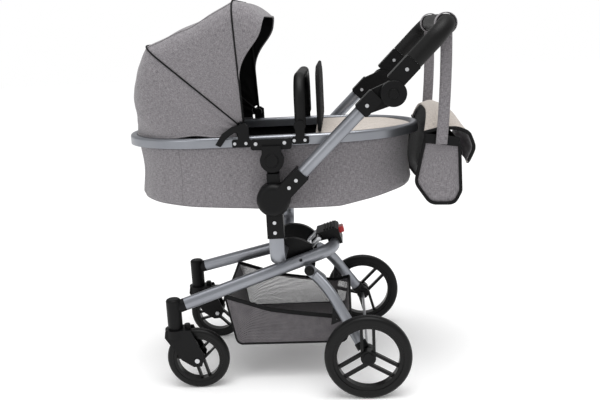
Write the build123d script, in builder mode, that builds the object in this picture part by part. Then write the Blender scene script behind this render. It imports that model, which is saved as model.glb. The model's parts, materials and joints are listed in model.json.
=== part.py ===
"""Doll stroller: folding tube chassis, carrycot with hood, tilting handle, hanging bag and basket.

Frame: +Z up, ground at z = 0, X along the direction of travel with the swivel wheels at -X and the
handle at +X, Y across.  "left" is -Y and "right" is +Y.  All sizes are in millimetres.
"""

import os
from math import atan, atan2, cos, degrees, radians, sin, tan

from build123d import *

os.makedirs("parts", exist_ok=True)

SIDES = (("left", -1), ("right", 1))

# ---------------------------------------------------------------- wheels
rear_wheel_radius = 80.0
rear_tyre_width = 20.0
rear_rim_radius = 64.0
rear_rim_opening = 57.0
rear_hub_radius = 14.0
rear_spoke_offset = 11.0
rear_spoke_width = 5.6
rear_track = 180.0  # centre plane of a rear wheel, from the middle
rear_axle_x = 120.0
rear_axle_radius = 3.0
front_wheel_radius = 60.0
front_tyre_width = 18.0
front_rim_radius = 47.0
front_rim_opening = 41.0
front_hub_radius = 10.5
front_spoke_offset = 8.0
front_spoke_width = 4.2
front_track = 121.0
front_trail = 40.0  # axle behind the swivel axis
front_axle_radius = 2.5
rim_width = 16.0
tyre_gap = 0.1
running_fit = 0.06  # radial clearance of a shaft in its bore
loose_fit = 0.3  # clearance between parts of different bodies
seat_gap = 0.1  # between parts screwed onto each other
cloth_gap = 0.3  # round soft parts

# ---------------------------------------------------------------- chassis tubes
rail_height = 25.0
rail_thickness = 18.0
tube_wall = 1.2
rail_slope = 0.292  # rise of the rails per mm of X
rail_taper = 0.2  # the rails close in by this much per mm of X
rail_half_gap = 73.0  # rail centre line from the middle, at x = 0
rail_z = 233.0  # rail centre line, at x = 0
rail_front_x = -222.0
bend_apex = 68.0  # rear cross run of the rail tube, along the slope
bend_radius = 42.0
swivel_x = -244.0
swivel_radius = 14.0
swivel_top = 181.0
swivel_bottom = 122.0
post_x = -38.0
post_y = 145.0
post_width = 27.0
post_thickness = 17.0
post_cross_z = 254.0
post_bend_radius = 22.0
post_top = 338.0
bracket_inner = 46.0  # side brackets inside the rails
bracket_outer = 58.0
fold_x = 16.0  # axis on which the rear legs fold
fold_z = 218.0
fold_axle_radius = 4.0
leg_width = 22.0
leg_thickness = 15.0
leg_tip_y = 87.0
yoke_y = 36.0
yoke_radius = 4.5
block_half_width = 29.0

# ---------------------------------------------------------------- uprights and handle
corner_x = -38.0
corner_z = 374.0
corner_radius = 30.0
socket_inner = 134.5
socket_outer = 156.5
handle_y = 155.0
handle_tube_radius = 11.5
handle_angle = 44.4
handle_start = (16.1, 421.3)  # end of the lower handle socket, x and z
tube_length = 146.0  # free length of a handle tube
clamp_length = 40.0
handle_half_depth = 14.0
tilt_x = 177.5  # axis on which the grip tilts
tilt_z = 552.8
tilt_radius = 22.5
grip_start = (213.8, 605.7)
grip_angle = 45.0
grip_reach = 82.3  # from the sleeve's end to the grip's cross run
grip_radius = 16.0
grip_corner = 36.0
bar_radius = 10.0

# ---------------------------------------------------------------- carrycot
cot_half_width = 136.0
rim_head_x = -158.0
rim_head_length = 165.0
rim_foot_x = 33.0
rim_foot_length = 200.0
rim_bottom = 468.0
rim_top = 486.0
rim_band = 14.0
cot_head_inset = 16.0  # how far the fabric body lies inside the rim at the head
cot_foot_inset = 15.0
cot_side_inset = 5.0
cot_bottom = 349.0
cot_wall = 4.0
cot_floor = 6.0
mattress_thickness = 36.0
recline_x = -37.0
recline_z = 444.0
recline_radius = 21.0
hood_x = -86.0  # axis of the hood bows
hood_z = 500.0
hood_half_width = 134.0
hood_cloth = 2.0
bumper_x = 14.0  # axis of the bumper bar
bumper_z = 501.0
bumper_y = 127.0
bumper_top = 592.0

# ---------------------------------------------------------------- bag and basket
bag_half_width = 123.0
bag_wall = 3.0
bag_hinge = (239.0, 510.0)
strap_width = 20.0
strap_thickness = 2.2
basket_half_width = 104.0
basket_wall = 3.0

SLOPE = degrees(atan(rail_slope))
RAIL_PLANE = Plane(
    origin=(0, 0, rail_z),
    x_dir=(cos(radians(SLOPE)), 0, sin(radians(SLOPE))),
    z_dir=(-sin(radians(SLOPE)), 0, cos(radians(SLOPE))),
)


def write(part, label):
    """Name one finished sub-part and write its STEP file."""
    part.label = label
    export_step(part, f"parts/{label}.step")


def between(side, inner, outer):
    """Plane and depth of a plate lying from |y| = inner to |y| = outer on one side."""
    return Plane.XZ.offset(-max(side * inner, side * outer)), outer - inner


def plate_plane(x, z, angle, y):
    """Upright plane at y whose local x axis rises at the angle from +X."""
    turn = radians(angle)
    return Plane(origin=(x, y, z), x_dir=(cos(turn), 0, sin(turn)), z_dir=(0, -1, 0))


def along(start, angle, distance, offset=0.0):
    """Point at a distance along a sloping line, and offset above it, in x and z."""
    turn = radians(angle)
    return (
        start[0] + distance * cos(turn) - offset * sin(turn),
        start[1] + distance * sin(turn) + offset * cos(turn),
    )


def rail_y(x):
    """Distance of a rail's centre line from the middle at a given x."""
    return rail_half_gap - rail_taper * x


def rail_height_at(x):
    """Height of a rail's centre line at a given x."""
    return rail_z + rail_slope * x


# ================================================================ wheels
def make_tyre(name, side, x, track, radius, seat, width):
    wheel_plane = Plane(origin=(x, side * track, radius), x_dir=(1, 0, 0), z_dir=(0, 0, 1))
    with BuildPart() as tyre:
        with BuildSketch(wheel_plane) as section:
            with Locations(((radius + seat) / 2, 0)):
                Rectangle(radius - seat, width)
            fillet(section.vertices().group_by(Axis.X)[-1], radius=width * 0.38)
            fillet(section.vertices().group_by(Axis.X)[0], radius=1.5)
        revolve(axis=Axis((x, side * track, radius), (0, 1, 0)))
    write(tyre.part, name)


def make_rim(name, side, x, z, track, sizes, first_angle):
    seat, opening, hub, offset, spoke, bore, outboard = sizes
    spoke_start = offset / tan(radians(60)) - spoke / 2
    spoke_length = opening + 1.0 - spoke_start
    plane, depth = between(side, track - rim_width / 2, track + rim_width / 2)
    spoke_plane, spoke_depth = between(side, track - rim_width / 4, track + rim_width / 4)
    hub_plane, hub_depth = between(side, track - rim_width / 2 - 1, track + outboard)
    with BuildPart() as rim:
        with BuildSketch(plane):
            with Locations((x, z)):
                Circle(seat - tyre_gap)
                Circle(opening, mode=Mode.SUBTRACT)
        extrude(amount=depth)
        with BuildSketch(spoke_plane):
            with Locations((x, z)):
                with PolarLocations(spoke_start + spoke_length / 2, 3, start_angle=first_angle):
                    with Locations((0, offset), (0, -offset)):
                        Rectangle(spoke_length, spoke)
        extrude(amount=spoke_depth)
        with BuildSketch(hub_plane):
            with Locations((x, z)):
                Circle(hub)
        extrude(amount=hub_depth)
        with BuildSketch(hub_plane):
            with Locations((x, z)):
                Circle(bore)
        extrude(amount=hub_depth, mode=Mode.SUBTRACT)
    write(rim.part, name)


def make_hub_cap(name, side, x, z, inner, outer, radius):
    plane, depth = between(side, inner, outer)
    with BuildPart() as cap:
        with BuildSketch(plane):
            with Locations((x, z)):
                Circle(radius)
        extrude(amount=depth)
        outer_face = cap.faces().sort_by(Axis.Y)[0 if side < 0 else -1]
        fillet(outer_face.edges(), radius=1.6)
    write(cap.part, name)


hub_outboard = 8.0  # hub face beyond the wheel's centre plane
rear_sizes = (
    rear_rim_radius,
    rear_rim_opening,
    rear_hub_radius,
    rear_spoke_offset,
    rear_spoke_width,
    rear_axle_radius + running_fit,
    hub_outboard,
)
front_sizes = (
    front_rim_radius,
    front_rim_opening,
    front_hub_radius,
    front_spoke_offset,
    front_spoke_width,
    front_axle_radius + running_fit,
    hub_outboard,
)
front_axle_x = swivel_x + front_trail
cap_inner = rear_track + hub_outboard
cap_outer = cap_inner + 3.0

for side_name, side in SIDES:
    make_tyre(
        f"rear_tyre_{side_name}", side, rear_axle_x, rear_track,
        rear_wheel_radius, rear_rim_radius, rear_tyre_width,
    )
    make_tyre(
        f"front_tyre_{side_name}", side, front_axle_x, front_track,
        front_wheel_radius, front_rim_radius, front_tyre_width,
    )
    rear_turn = 90 if side < 0 else 45
    front_turn = 45 if side < 0 else 75
    make_rim(
        f"rear_rim_{side_name}", side, rear_axle_x, rear_wheel_radius,
        rear_track, rear_sizes, rear_turn,
    )
    make_rim(
        f"front_rim_{side_name}", side, front_axle_x, front_wheel_radius,
        front_track, front_sizes, front_turn,
    )
    make_hub_cap(
        f"rear_hub_cap_{side_name}", side, rear_axle_x, rear_wheel_radius,
        cap_inner, cap_outer, rear_hub_radius - 3,
    )

# ---------------------------------------------------------------- rear axle
axle_end = cap_inner - 0.5
with BuildPart() as rear_axle:
    with BuildSketch(Plane.XZ.offset(-axle_end)):
        with Locations((rear_axle_x, rear_wheel_radius)):
            Circle(rear_axle_radius)
    extrude(amount=2 * axle_end)
write(rear_axle.part, "rear_axle")


# ================================================================ swivel wheels
fork_wall = 4.0
fork_inner = front_tyre_width / 2 + 3.0  # inside of a fork blade from the wheel's centre plane
fork_outer = fork_inner + fork_wall
crown_top = swivel_bottom - loose_fit
crown_bottom = 106.0
crown_radius = 20.0
stem_radius = 6.0
stem_height = 30.0


def make_fork(name, side):
    """Forked shell that carries one swivel wheel and turns on a stem in its housing."""
    y_mid = side * front_track
    blade_low = (front_axle_x, front_wheel_radius)
    with BuildPart() as fork:
        # Crown above the tyre.
        with BuildSketch(Plane.XY.offset(crown_bottom)):
            with Locations((swivel_x, y_mid)):
                Circle(crown_radius)
            with Locations((swivel_x + 16, y_mid)):
                Rectangle(32, 2 * fork_outer)
        extrude(amount=crown_top - crown_bottom)
        # Blades down to the axle.
        for inner in (fork_inner, -fork_outer):
            with BuildSketch(Plane.XZ.offset(-(y_mid + inner + fork_wall))):
                with BuildLine():
                    Polyline(
                        (swivel_x - 17, crown_top - 1),
                        (swivel_x + 32, crown_top - 1),
                        (blade_low[0] + 14, blade_low[1] + 8),
                        (blade_low[0] + 8, blade_low[1] - 12),
                        (blade_low[0] - 8, blade_low[1] - 13),
                        (blade_low[0] - 30, blade_low[1] + 2),
                        (swivel_x - 19, crown_bottom + 2),
                        close=True,
                    )
                make_face()
            extrude(amount=fork_wall)
        fillet(fork.edges().filter_by(Axis.Y).group_by(Axis.Z)[0], radius=5)
        # Room for the tyre.
        with BuildSketch(Plane.XZ.offset(-(y_mid + fork_inner))):
            with Locations(blade_low):
                Circle(front_wheel_radius + 3)
        extrude(amount=2 * fork_inner, mode=Mode.SUBTRACT)
        # Stem, and the knob of the swivel lock behind it.
        with BuildSketch(Plane.XY.offset(crown_top - 2)):
            with Locations((swivel_x, y_mid)):
                Circle(stem_radius)
        extrude(amount=stem_height)
        with BuildSketch(Plane.XY.offset(crown_top - 2)):
            with Locations((swivel_x + 23, y_mid)):
                Circle(5.5)
        extrude(amount=10)
        # Axle holes.
        with BuildSketch(Plane.XZ.offset(-(y_mid + fork_outer))):
            with Locations(blade_low):
                Circle(front_axle_radius)
        extrude(amount=2 * fork_outer, mode=Mode.SUBTRACT)
    write(fork.part, name)


def make_swivel_housing(name, side):
    """Upright bearing housing with an oval stub that plugs into the end of the rail tube."""
    y_mid = side * front_track
    slope = Vector(1, -side * rail_taper, rail_slope).normalized()
    stub_start = Vector(swivel_x + 6, side * rail_y(swivel_x + 6), rail_height_at(swivel_x + 6))
    rail_end = Vector(rail_front_x, side * rail_y(rail_front_x), rail_height_at(rail_front_x))
    stub_plane = Plane(origin=tuple(stub_start), x_dir=RAIL_PLANE.z_dir, z_dir=slope)
    plug_plane = Plane(origin=tuple(rail_end), x_dir=RAIL_PLANE.z_dir, z_dir=slope)
    with BuildPart() as housing:
        with BuildSketch(Plane.XY.offset(swivel_bottom)):
            with Locations((swivel_x, y_mid)):
                Circle(swivel_radius)
        extrude(amount=swivel_top - swivel_bottom)
        fillet(housing.faces().sort_by(Axis.Z)[-1].edges(), radius=5)
        with BuildSketch(stub_plane):
            Ellipse(rail_height / 2, rail_thickness / 2)
        extrude(amount=(rail_end - stub_start).length - 0.2)
        with BuildSketch(plug_plane):
            Ellipse(rail_height / 2 - tube_wall - 0.2, rail_thickness / 2 - tube_wall - 0.2)
        extrude(amount=20)
        with BuildSketch(plug_plane):
            Ellipse(rail_height / 2 - tube_wall - 0.2, rail_thickness / 2 - tube_wall - 0.2)
        extrude(amount=-4)
        with BuildSketch(Plane.XY.offset(swivel_bottom)):
            with Locations((swivel_x, y_mid)):
                Circle(stem_radius + running_fit)
        extrude(amount=stem_height, mode=Mode.SUBTRACT)
    write(housing.part, name)


def make_fork_bolt(name, side):
    """Axle bolt of a swivel wheel with a pan head on the outside and a nut on the inside."""
    head_plane, head_depth = between(side, front_track + fork_outer, front_track + fork_outer + 2.2)
    nut_plane, nut_depth = between(side, front_track - fork_outer - 3.0, front_track - fork_outer)
    rod_plane, rod_depth = between(side, front_track - fork_outer - 1, front_track + fork_outer + 1)
    with BuildPart() as bolt:
        with BuildSketch(rod_plane):
            with Locations((front_axle_x, front_wheel_radius)):
                Circle(front_axle_radius - 0.02)
        extrude(amount=rod_depth)
        with BuildSketch(head_plane):
            with Locations((front_axle_x, front_wheel_radius)):
                Circle(4.6)
        extrude(amount=head_depth)
        with BuildSketch(nut_plane):
            with Locations((front_axle_x, front_wheel_radius)):
                RegularPolygon(4.6, 6)
        extrude(amount=nut_depth)
    write(bolt.part, name)


for side_name, side in SIDES:
    make_fork(f"fork_{side_name}", side)
    make_swivel_housing(f"swivel_housing_{side_name}", side)
    make_fork_bolt(f"fork_bolt_{side_name}", side)


# ================================================================ main chassis tubes
bolt_x = 0.0  # bolt through rail and side bracket
bolt_z = rail_z + 3.0
bolt_radius = 3.0
rail_front_u = rail_front_x / cos(radians(SLOPE))
taper_u = rail_taper * cos(radians(SLOPE))
with BuildPart() as front_tube:
    with BuildLine(RAIL_PLANE) as rail_path:
        FilletPolyline(
            (rail_front_u, -(rail_half_gap - taper_u * rail_front_u)),
            (bend_apex, -(rail_half_gap - taper_u * bend_apex)),
            (bend_apex, rail_half_gap - taper_u * bend_apex),
            (rail_front_u, rail_half_gap - taper_u * rail_front_u),
            radius=bend_radius,
        )
    rail_line = rail_path.wire()
    with BuildSketch(Plane(origin=rail_line @ 0, x_dir=RAIL_PLANE.z_dir, z_dir=rail_line % 0)):
        Ellipse(rail_height / 2, rail_thickness / 2)
        Ellipse(rail_height / 2 - tube_wall, rail_thickness / 2 - tube_wall, mode=Mode.SUBTRACT)
    sweep(path=rail_line)
    with BuildSketch(Plane.XZ.offset(-150)):
        with Locations((bolt_x, bolt_z)):
            Circle(bolt_radius + 0.1)
    extrude(amount=300, mode=Mode.SUBTRACT)
write(front_tube.part, "front_tube")


def make_post(name, side):
    """Upright tube that bends inwards over the rail and butts on the side bracket."""
    with BuildPart() as post:
        with BuildLine(Plane(origin=(post_x, 0, 0), x_dir=(0, 1, 0), z_dir=(1, 0, 0))) as path:
            FilletPolyline(
                (side * post_y, post_top),
                (side * post_y, post_cross_z),
                (side * (bracket_outer + 0.2), post_cross_z),
                radius=post_bend_radius,
            )
        line = path.wire()
        with BuildSketch(Plane(origin=line @ 0, x_dir=(1, 0, 0), z_dir=line % 0)):
            Ellipse(post_width / 2, post_thickness / 2)
            Ellipse(post_width / 2 - tube_wall, post_thickness / 2 - tube_wall, mode=Mode.SUBTRACT)
        sweep(path=line)
    write(post.part, name)


def make_side_bracket(name, side):
    """Moulded bracket inside a rail: it takes the post, the rail bolt and the fold axle."""
    plane, depth = between(side, bracket_inner, bracket_outer)
    with BuildPart() as bracket:
        with BuildSketch(plane):
            with BuildLine():
                start = (post_x - 17, post_cross_z + 8)
                arc_mid = (post_x + 10, post_cross_z + 19)
                arc_end = (fold_x + 6, post_cross_z + 2)
                ThreePointArc(start, arc_mid, arc_end)
                Polyline(
                    arc_end,
                    (fold_x + 12, rail_z + 4),
                    (fold_x + 10, fold_z),
                    (fold_x - 10, fold_z),
                    (post_x + 12, rail_z - 8),
                    (post_x - 17, post_cross_z - 14),
                    start,
                )
            make_face()
            with Locations((fold_x, fold_z)):
                Circle(10)
                Circle(fold_axle_radius + running_fit, mode=Mode.SUBTRACT)
            with Locations((bolt_x, bolt_z)):
                Circle(bolt_radius + 0.05, mode=Mode.SUBTRACT)
        extrude(amount=depth)
        fillet(bracket.faces().sort_by(Axis.Y)[0 if side > 0 else -1].edges(), radius=1.2)
    write(bracket.part, name)


for side_name, side in SIDES:
    make_post(f"post_{side_name}", side)
    make_side_bracket(f"side_bracket_{side_name}", side)

# ---------------------------------------------------------------- lock block on the rear bend
yoke_tip = along((0.0, rail_z), SLOPE, 42.0, 21.0)
yoke_reach = ((yoke_tip[0] - fold_x) ** 2 + (yoke_tip[1] - fold_z) ** 2) ** 0.5
yoke_tip_angle = degrees(atan2(yoke_tip[1] - fold_z, yoke_tip[0] - fold_x))
button_height = 18.0  # middle of the button above the rail's slope line
button_size = (20.0, 12.0)
button_proud = 9.0
button_inside = 8.0
button_travel = 4.0
block_end = 83.0
button_seat = along((0.0, rail_z), SLOPE, block_end)
BUTTON_PLANE = Plane(
    origin=(button_seat[0], 0, button_seat[1]),
    x_dir=(0, 1, 0),
    z_dir=(cos(radians(SLOPE)), 0, sin(radians(SLOPE))),
)
saddle_gap = 0.3
block_plane = plate_plane(0, rail_z, SLOPE, block_half_width)
with BuildPart() as lock_block:
    with BuildSketch(block_plane):
        Polygon(
            (34, 14), (57, 14), (57, -4), (block_end, -4),
            (block_end, 25), (78, 30), (40, 30), (34, 27), align=None,
        )
    extrude(amount=2 * block_half_width)
    # Ribs on top for the thumb.
    with BuildSketch(plate_plane(0, rail_z, SLOPE, block_half_width - 6)):
        with Locations((56, 30.5), (62, 30.5), (68, 30.5), (74, 30.5)):
            Rectangle(2.4, 4)
    extrude(amount=2 * block_half_width - 12)
    # Saddle over the tube, open downwards.
    with BuildSketch(block_plane):
        with Locations((bend_apex, 0)):
            Ellipse(rail_thickness / 2 + saddle_gap, rail_height / 2 + saddle_gap)
        with Locations((bend_apex, -10)):
            Rectangle(rail_thickness + 2 * saddle_gap, 20)
    extrude(amount=2 * block_half_width, mode=Mode.SUBTRACT)
    # Slot that the yoke's cross bar swings into.
    with BuildSketch(Plane.XZ.offset(-block_half_width)):
        with BuildLine() as slot_line:
            CenterArc((fold_x, fold_z), yoke_reach, yoke_tip_angle, 40)
        SlotArc(slot_line.wire(), 2 * yoke_radius + 1.2)
    extrude(amount=2 * block_half_width, mode=Mode.SUBTRACT)
    # Pocket for the button.
    with BuildSketch(BUTTON_PLANE):
        with Locations((0, button_height)):
            Rectangle(button_size[0] + 0.6, button_size[1] + 0.6)
    extrude(amount=-(button_inside + button_travel + 1), mode=Mode.SUBTRACT)
write(lock_block.part, "lock_block")

with BuildPart() as fold_button:
    with BuildSketch(BUTTON_PLANE.offset(-button_inside)):
        with Locations((0, button_height)):
            Rectangle(*button_size)
    extrude(amount=button_inside + button_proud)
    fillet(fold_button.faces().sort_by(Axis.X)[-1].edges(), radius=1.8)
write(fold_button.part, "fold_button")

# ================================================================ rear legs
tip_half = 4.0
leg_points = (
    Vector(fold_x, leg_tip_y, fold_z),
    Vector(50, 110, 190),
    Vector(106, 153.6, 98),
)
leg_bend_radius = 180.0
leg_skip = 16.0  # the oval tube starts this far down from the fold axle
hub_boss_inner = 150.0
hub_boss_outer = 167.0
end_block_length = 13.0


def leg_frame(side):
    """Plane that holds one leg's centre line, with its three corner points in that plane."""
    points = [Vector(p.X, side * p.Y, p.Z) for p in leg_points]
    normal = (points[1] - points[0]).cross(points[2] - points[0])
    plane = Plane(origin=tuple(points[0]), x_dir=points[2] - points[0], z_dir=normal)
    local = [plane.to_local_coords(p) for p in points]
    return plane, [(p.X, p.Y) for p in local]


def make_rear_leg(name, side):
    plane, corners = leg_frame(side)
    tip_plane, tip_depth = between(side, leg_tip_y - tip_half, leg_tip_y + tip_half)
    tip_angle = degrees(atan2(leg_points[1].Z - fold_z, leg_points[1].X - fold_x))
    step = Vector(*corners[1]).normalized() * leg_skip
    with BuildPart() as leg:
        with BuildLine(plane) as path:
            FilletPolyline((step.X, step.Y), corners[1], corners[2], radius=leg_bend_radius)
        line = path.wire()
        with BuildSketch(Plane(origin=line @ 0, x_dir=plane.z_dir, z_dir=line % 0)):
            Ellipse(leg_thickness / 2, leg_width / 2)
        sweep(path=line)
        with BuildSketch(tip_plane):
            with Locations(Location((*along((fold_x, fold_z), tip_angle, 14), 0), tip_angle)):
                SlotCenterToCenter(28, 20)
        extrude(amount=tip_depth)
        with BuildSketch(tip_plane.offset(20)):
            with Locations((fold_x, fold_z)):
                Circle(fold_axle_radius + 0.03)
        extrude(amount=-60, mode=Mode.SUBTRACT)
    write(leg.part, name)


for side_name, side in SIDES:
    make_rear_leg(f"rear_leg_{side_name}", side)

# End blocks that hold the axle, pivot washers, and the plates the basket hangs from.
washer_inner = leg_tip_y + tip_half + 0.1
with BuildPart() as leg_fittings:
    for side_name, side in SIDES:
        end = Vector(leg_points[2].X, side * leg_points[2].Y, leg_points[2].Z)
        bend = Vector(leg_points[1].X, side * leg_points[1].Y, leg_points[1].Z)
        run = (end - bend).normalized()
        frame_plane, corners = leg_frame(side)
        with BuildSketch(Plane(origin=tuple(end), x_dir=frame_plane.z_dir, z_dir=run)):
            Ellipse(leg_thickness / 2 + 1.5, leg_width / 2 + 1.5)
        extrude(amount=end_block_length)
        boss_plane, boss_depth = between(side, hub_boss_inner, hub_boss_outer)
        with BuildSketch(boss_plane):
            with Locations((rear_axle_x, rear_wheel_radius)):
                Circle(13)
        extrude(amount=boss_depth)
        spacer_plane, spacer_depth = between(side, hub_boss_outer - 1, rear_track - rim_width / 2 - 1.3)
        with BuildSketch(spacer_plane):
            with Locations((rear_axle_x, rear_wheel_radius)):
                Circle(8)
        extrude(amount=spacer_depth)
        with BuildSketch(Plane.XZ.offset(-max(side * 140, side * 175))):
            with Locations((rear_axle_x, rear_wheel_radius)):
                Circle(rear_axle_radius + 0.02)
        extrude(amount=35, mode=Mode.SUBTRACT)
        washer_plane, washer_depth = between(side, washer_inner, washer_inner + 2.6)
        with BuildSketch(washer_plane):
            with Locations((fold_x, fold_z)):
                Circle(9.5)
        extrude(amount=washer_depth)
        head_plane, head_depth = between(side, washer_inner + 2, washer_inner + 4.4)
        with BuildSketch(head_plane):
            with Locations((fold_x, fold_z)):
                Circle(4.2)
        extrude(amount=head_depth)
        # Triangular hanger plate beside the straight run of the leg.
        run_angle = degrees(atan2(corners[2][1] - corners[1][1], corners[2][0] - corners[1][0]))
        away = -1 if corners[1][1] > 0 else 1
        edge = leg_width / 2 + 0.2
        with BuildSketch(frame_plane.offset(-2)):
            Polygon(
                along(corners[1], run_angle, 36, away * edge),
                along(corners[1], run_angle, 66, away * edge),
                along(corners[1], run_angle, 62, away * (edge + 24)),
                align=None,
            )
            with Locations(along(corners[1], run_angle, 57, away * (edge + 7))):
                Circle(3, mode=Mode.SUBTRACT)
        extrude(amount=4)
write(leg_fittings.part, "leg_fittings")

elbow = (fold_x - 5.0, fold_z + 24.0)
with BuildPart() as lock_yoke:
    axle_half = leg_tip_y + tip_half
    with BuildSketch(Plane.XZ.offset(-axle_half)):
        with Locations((fold_x, fold_z)):
            Circle(fold_axle_radius)
    extrude(amount=2 * axle_half)
    for side_name, side in SIDES:
        with BuildLine(Plane.XZ.offset(-side * yoke_y)) as rod_path:
            FilletPolyline((fold_x, fold_z), elbow, yoke_tip, radius=9)
        rod = rod_path.wire()
        with BuildSketch(Plane(origin=rod @ 0, z_dir=rod % 0)):
            Circle(yoke_radius)
        sweep(path=rod)
    with BuildSketch(Plane.XZ.offset(-yoke_y - yoke_radius)):
        with Locations(yoke_tip):
            Circle(yoke_radius)
    extrude(amount=2 * (yoke_y + yoke_radius))
write(lock_yoke.part, "lock_yoke")

# ================================================================ uprights and handle
screw_head = 3.2
screw_rise = 1.6
screw_shank = 1.5
screw_depth = 1.8
lower_screws = ((post_x - 0.6, 331.9), (post_x - 0.6, 313.3))
handle_screw_points = (
    along(handle_start, handle_angle, -34.0),
    along(handle_start, handle_angle, -16.0),
)
clamp_screw = along(handle_start, handle_angle, tube_length + 16)
sleeve_screw = along(grip_start, grip_angle, -19)
socket_low = 302.0
handle_inner = handle_y - handle_half_depth
handle_outer = handle_y + handle_half_depth
neck_inner = 137.5
neck_outer = 143.5
disc_inner = neck_outer + 0.4
disc_outer = 155.0
pin_radius = 4.0


def cut_screw_holes(side, points, face, direction=-1):
    """Blind holes for screw shanks, from a face at |y| = face, inwards (-1) or outwards (+1)."""
    low, high = sorted((face, face + direction * (screw_depth + 0.3)))
    plane, depth = between(side, low, high)
    with BuildSketch(plane) as holes:
        with Locations(*points):
            Circle(screw_shank + 0.08)
    extrude(holes.sketch, amount=depth, mode=Mode.SUBTRACT)


def add_screws(side, points, face, direction=-1, head=screw_head):
    """Pan-head screws seated on a face; direction is the way their shanks point."""
    head_low, head_high = sorted((face, face - direction * screw_rise))
    head_plane, head_depth = between(side, head_low, head_high)
    with BuildSketch(head_plane) as heads:
        with Locations(*points):
            Circle(head)
    extrude(heads.sketch, amount=head_depth)
    shank_low, shank_high = sorted((face, face + direction * screw_depth))
    shank_plane, shank_depth = between(side, shank_low, shank_high)
    with BuildSketch(shank_plane) as shanks:
        with Locations(*points):
            Circle(screw_shank)
    extrude(shanks.sketch, amount=shank_depth)


def make_corner_joint(name, side):
    """Moulded knuckle that joins post and handle tube and carries the cot's pivot stud."""
    round_x, round_z = corner_x, corner_z
    low_plane, low_depth = between(side, socket_inner, socket_outer)
    dome_plane, dome_depth = between(side, socket_inner, handle_outer)
    arm_plane_y = max(side * handle_inner, side * handle_outer)
    with BuildPart() as joint:
        with BuildSketch(dome_plane):
            with Locations((round_x, round_z)):
                Circle(corner_radius)
        extrude(amount=dome_depth)
        dome_face = joint.faces().sort_by(Axis.Y)[0 if side < 0 else -1]
        fillet(dome_face.edges(), radius=11)
        with BuildSketch(low_plane) as low_sketch:
            with Locations((post_x, (socket_low + round_z) / 2)):
                Rectangle(30, round_z - socket_low)
        extrude(amount=low_depth)
        with BuildSketch(plate_plane(*handle_start, handle_angle, arm_plane_y)):
            with Locations((-32, 0)):
                Rectangle(64, 29)
        extrude(amount=2 * handle_half_depth)
        # Neck and pivot stud for the cot.
        neck_low_plane, neck_low_depth = between(side, neck_inner, disc_outer - 1)
        with BuildSketch(neck_low_plane):
            with Locations((recline_x, (round_z + 420) / 2)):
                Rectangle(22, 420 - round_z)
        extrude(amount=neck_low_depth)
        neck_plane, neck_depth = between(side, neck_inner, neck_outer)
        with BuildSketch(neck_plane):
            with Locations((recline_x, (400 + recline_z) / 2)):
                Rectangle(22, recline_z - 400)
            with Locations((recline_x, recline_z)):
                Circle(14)
        extrude(amount=neck_depth)
        pin_plane, pin_depth = between(side, neck_inner, disc_inner + 3.6)
        with BuildSketch(pin_plane):
            with Locations((recline_x, recline_z)):
                Circle(pin_radius)
        extrude(amount=pin_depth)
        # Bores for the two tubes.
        with BuildSketch(Plane.XY.offset(socket_low)):
            with Locations((post_x, side * post_y)):
                Ellipse(post_width / 2 + 0.1, post_thickness / 2 + 0.1)
        extrude(amount=post_top - socket_low + 0.3, mode=Mode.SUBTRACT)
        turn = radians(handle_angle)
        with BuildSketch(Plane(
            origin=(handle_start[0], side * handle_y, handle_start[1]),
            x_dir=(0, 1, 0), z_dir=(cos(turn), 0, sin(turn)),
        )):
            Circle(handle_tube_radius + 0.1)
        extrude(amount=-40, mode=Mode.SUBTRACT)
        cut_screw_holes(side, lower_screws, socket_outer)
        cut_screw_holes(side, handle_screw_points, handle_outer)
    write(joint.part, name)


tube_inside = 39.5  # length of a handle tube inside its lower socket
clamp_bore = 28.0


def make_handle_tube(name, side):
    turn = radians(handle_angle)
    start = along(handle_start, handle_angle, -tube_inside)
    with BuildPart() as tube:
        with BuildSketch(Plane(
            origin=(start[0], side * handle_y, start[1]),
            x_dir=(0, 1, 0), z_dir=(cos(turn), 0, sin(turn)),
        )):
            Circle(handle_tube_radius)
            Circle(handle_tube_radius - tube_wall, mode=Mode.SUBTRACT)
        extrude(amount=tube_inside + tube_length + clamp_bore)
    write(tube.part, name)


ear_outer = handle_y - 0.5  # the clamp's ear lies inside, the sleeve's disc outside
ear_radius = 21.0
tilt_pin_radius = 5.0


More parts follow.
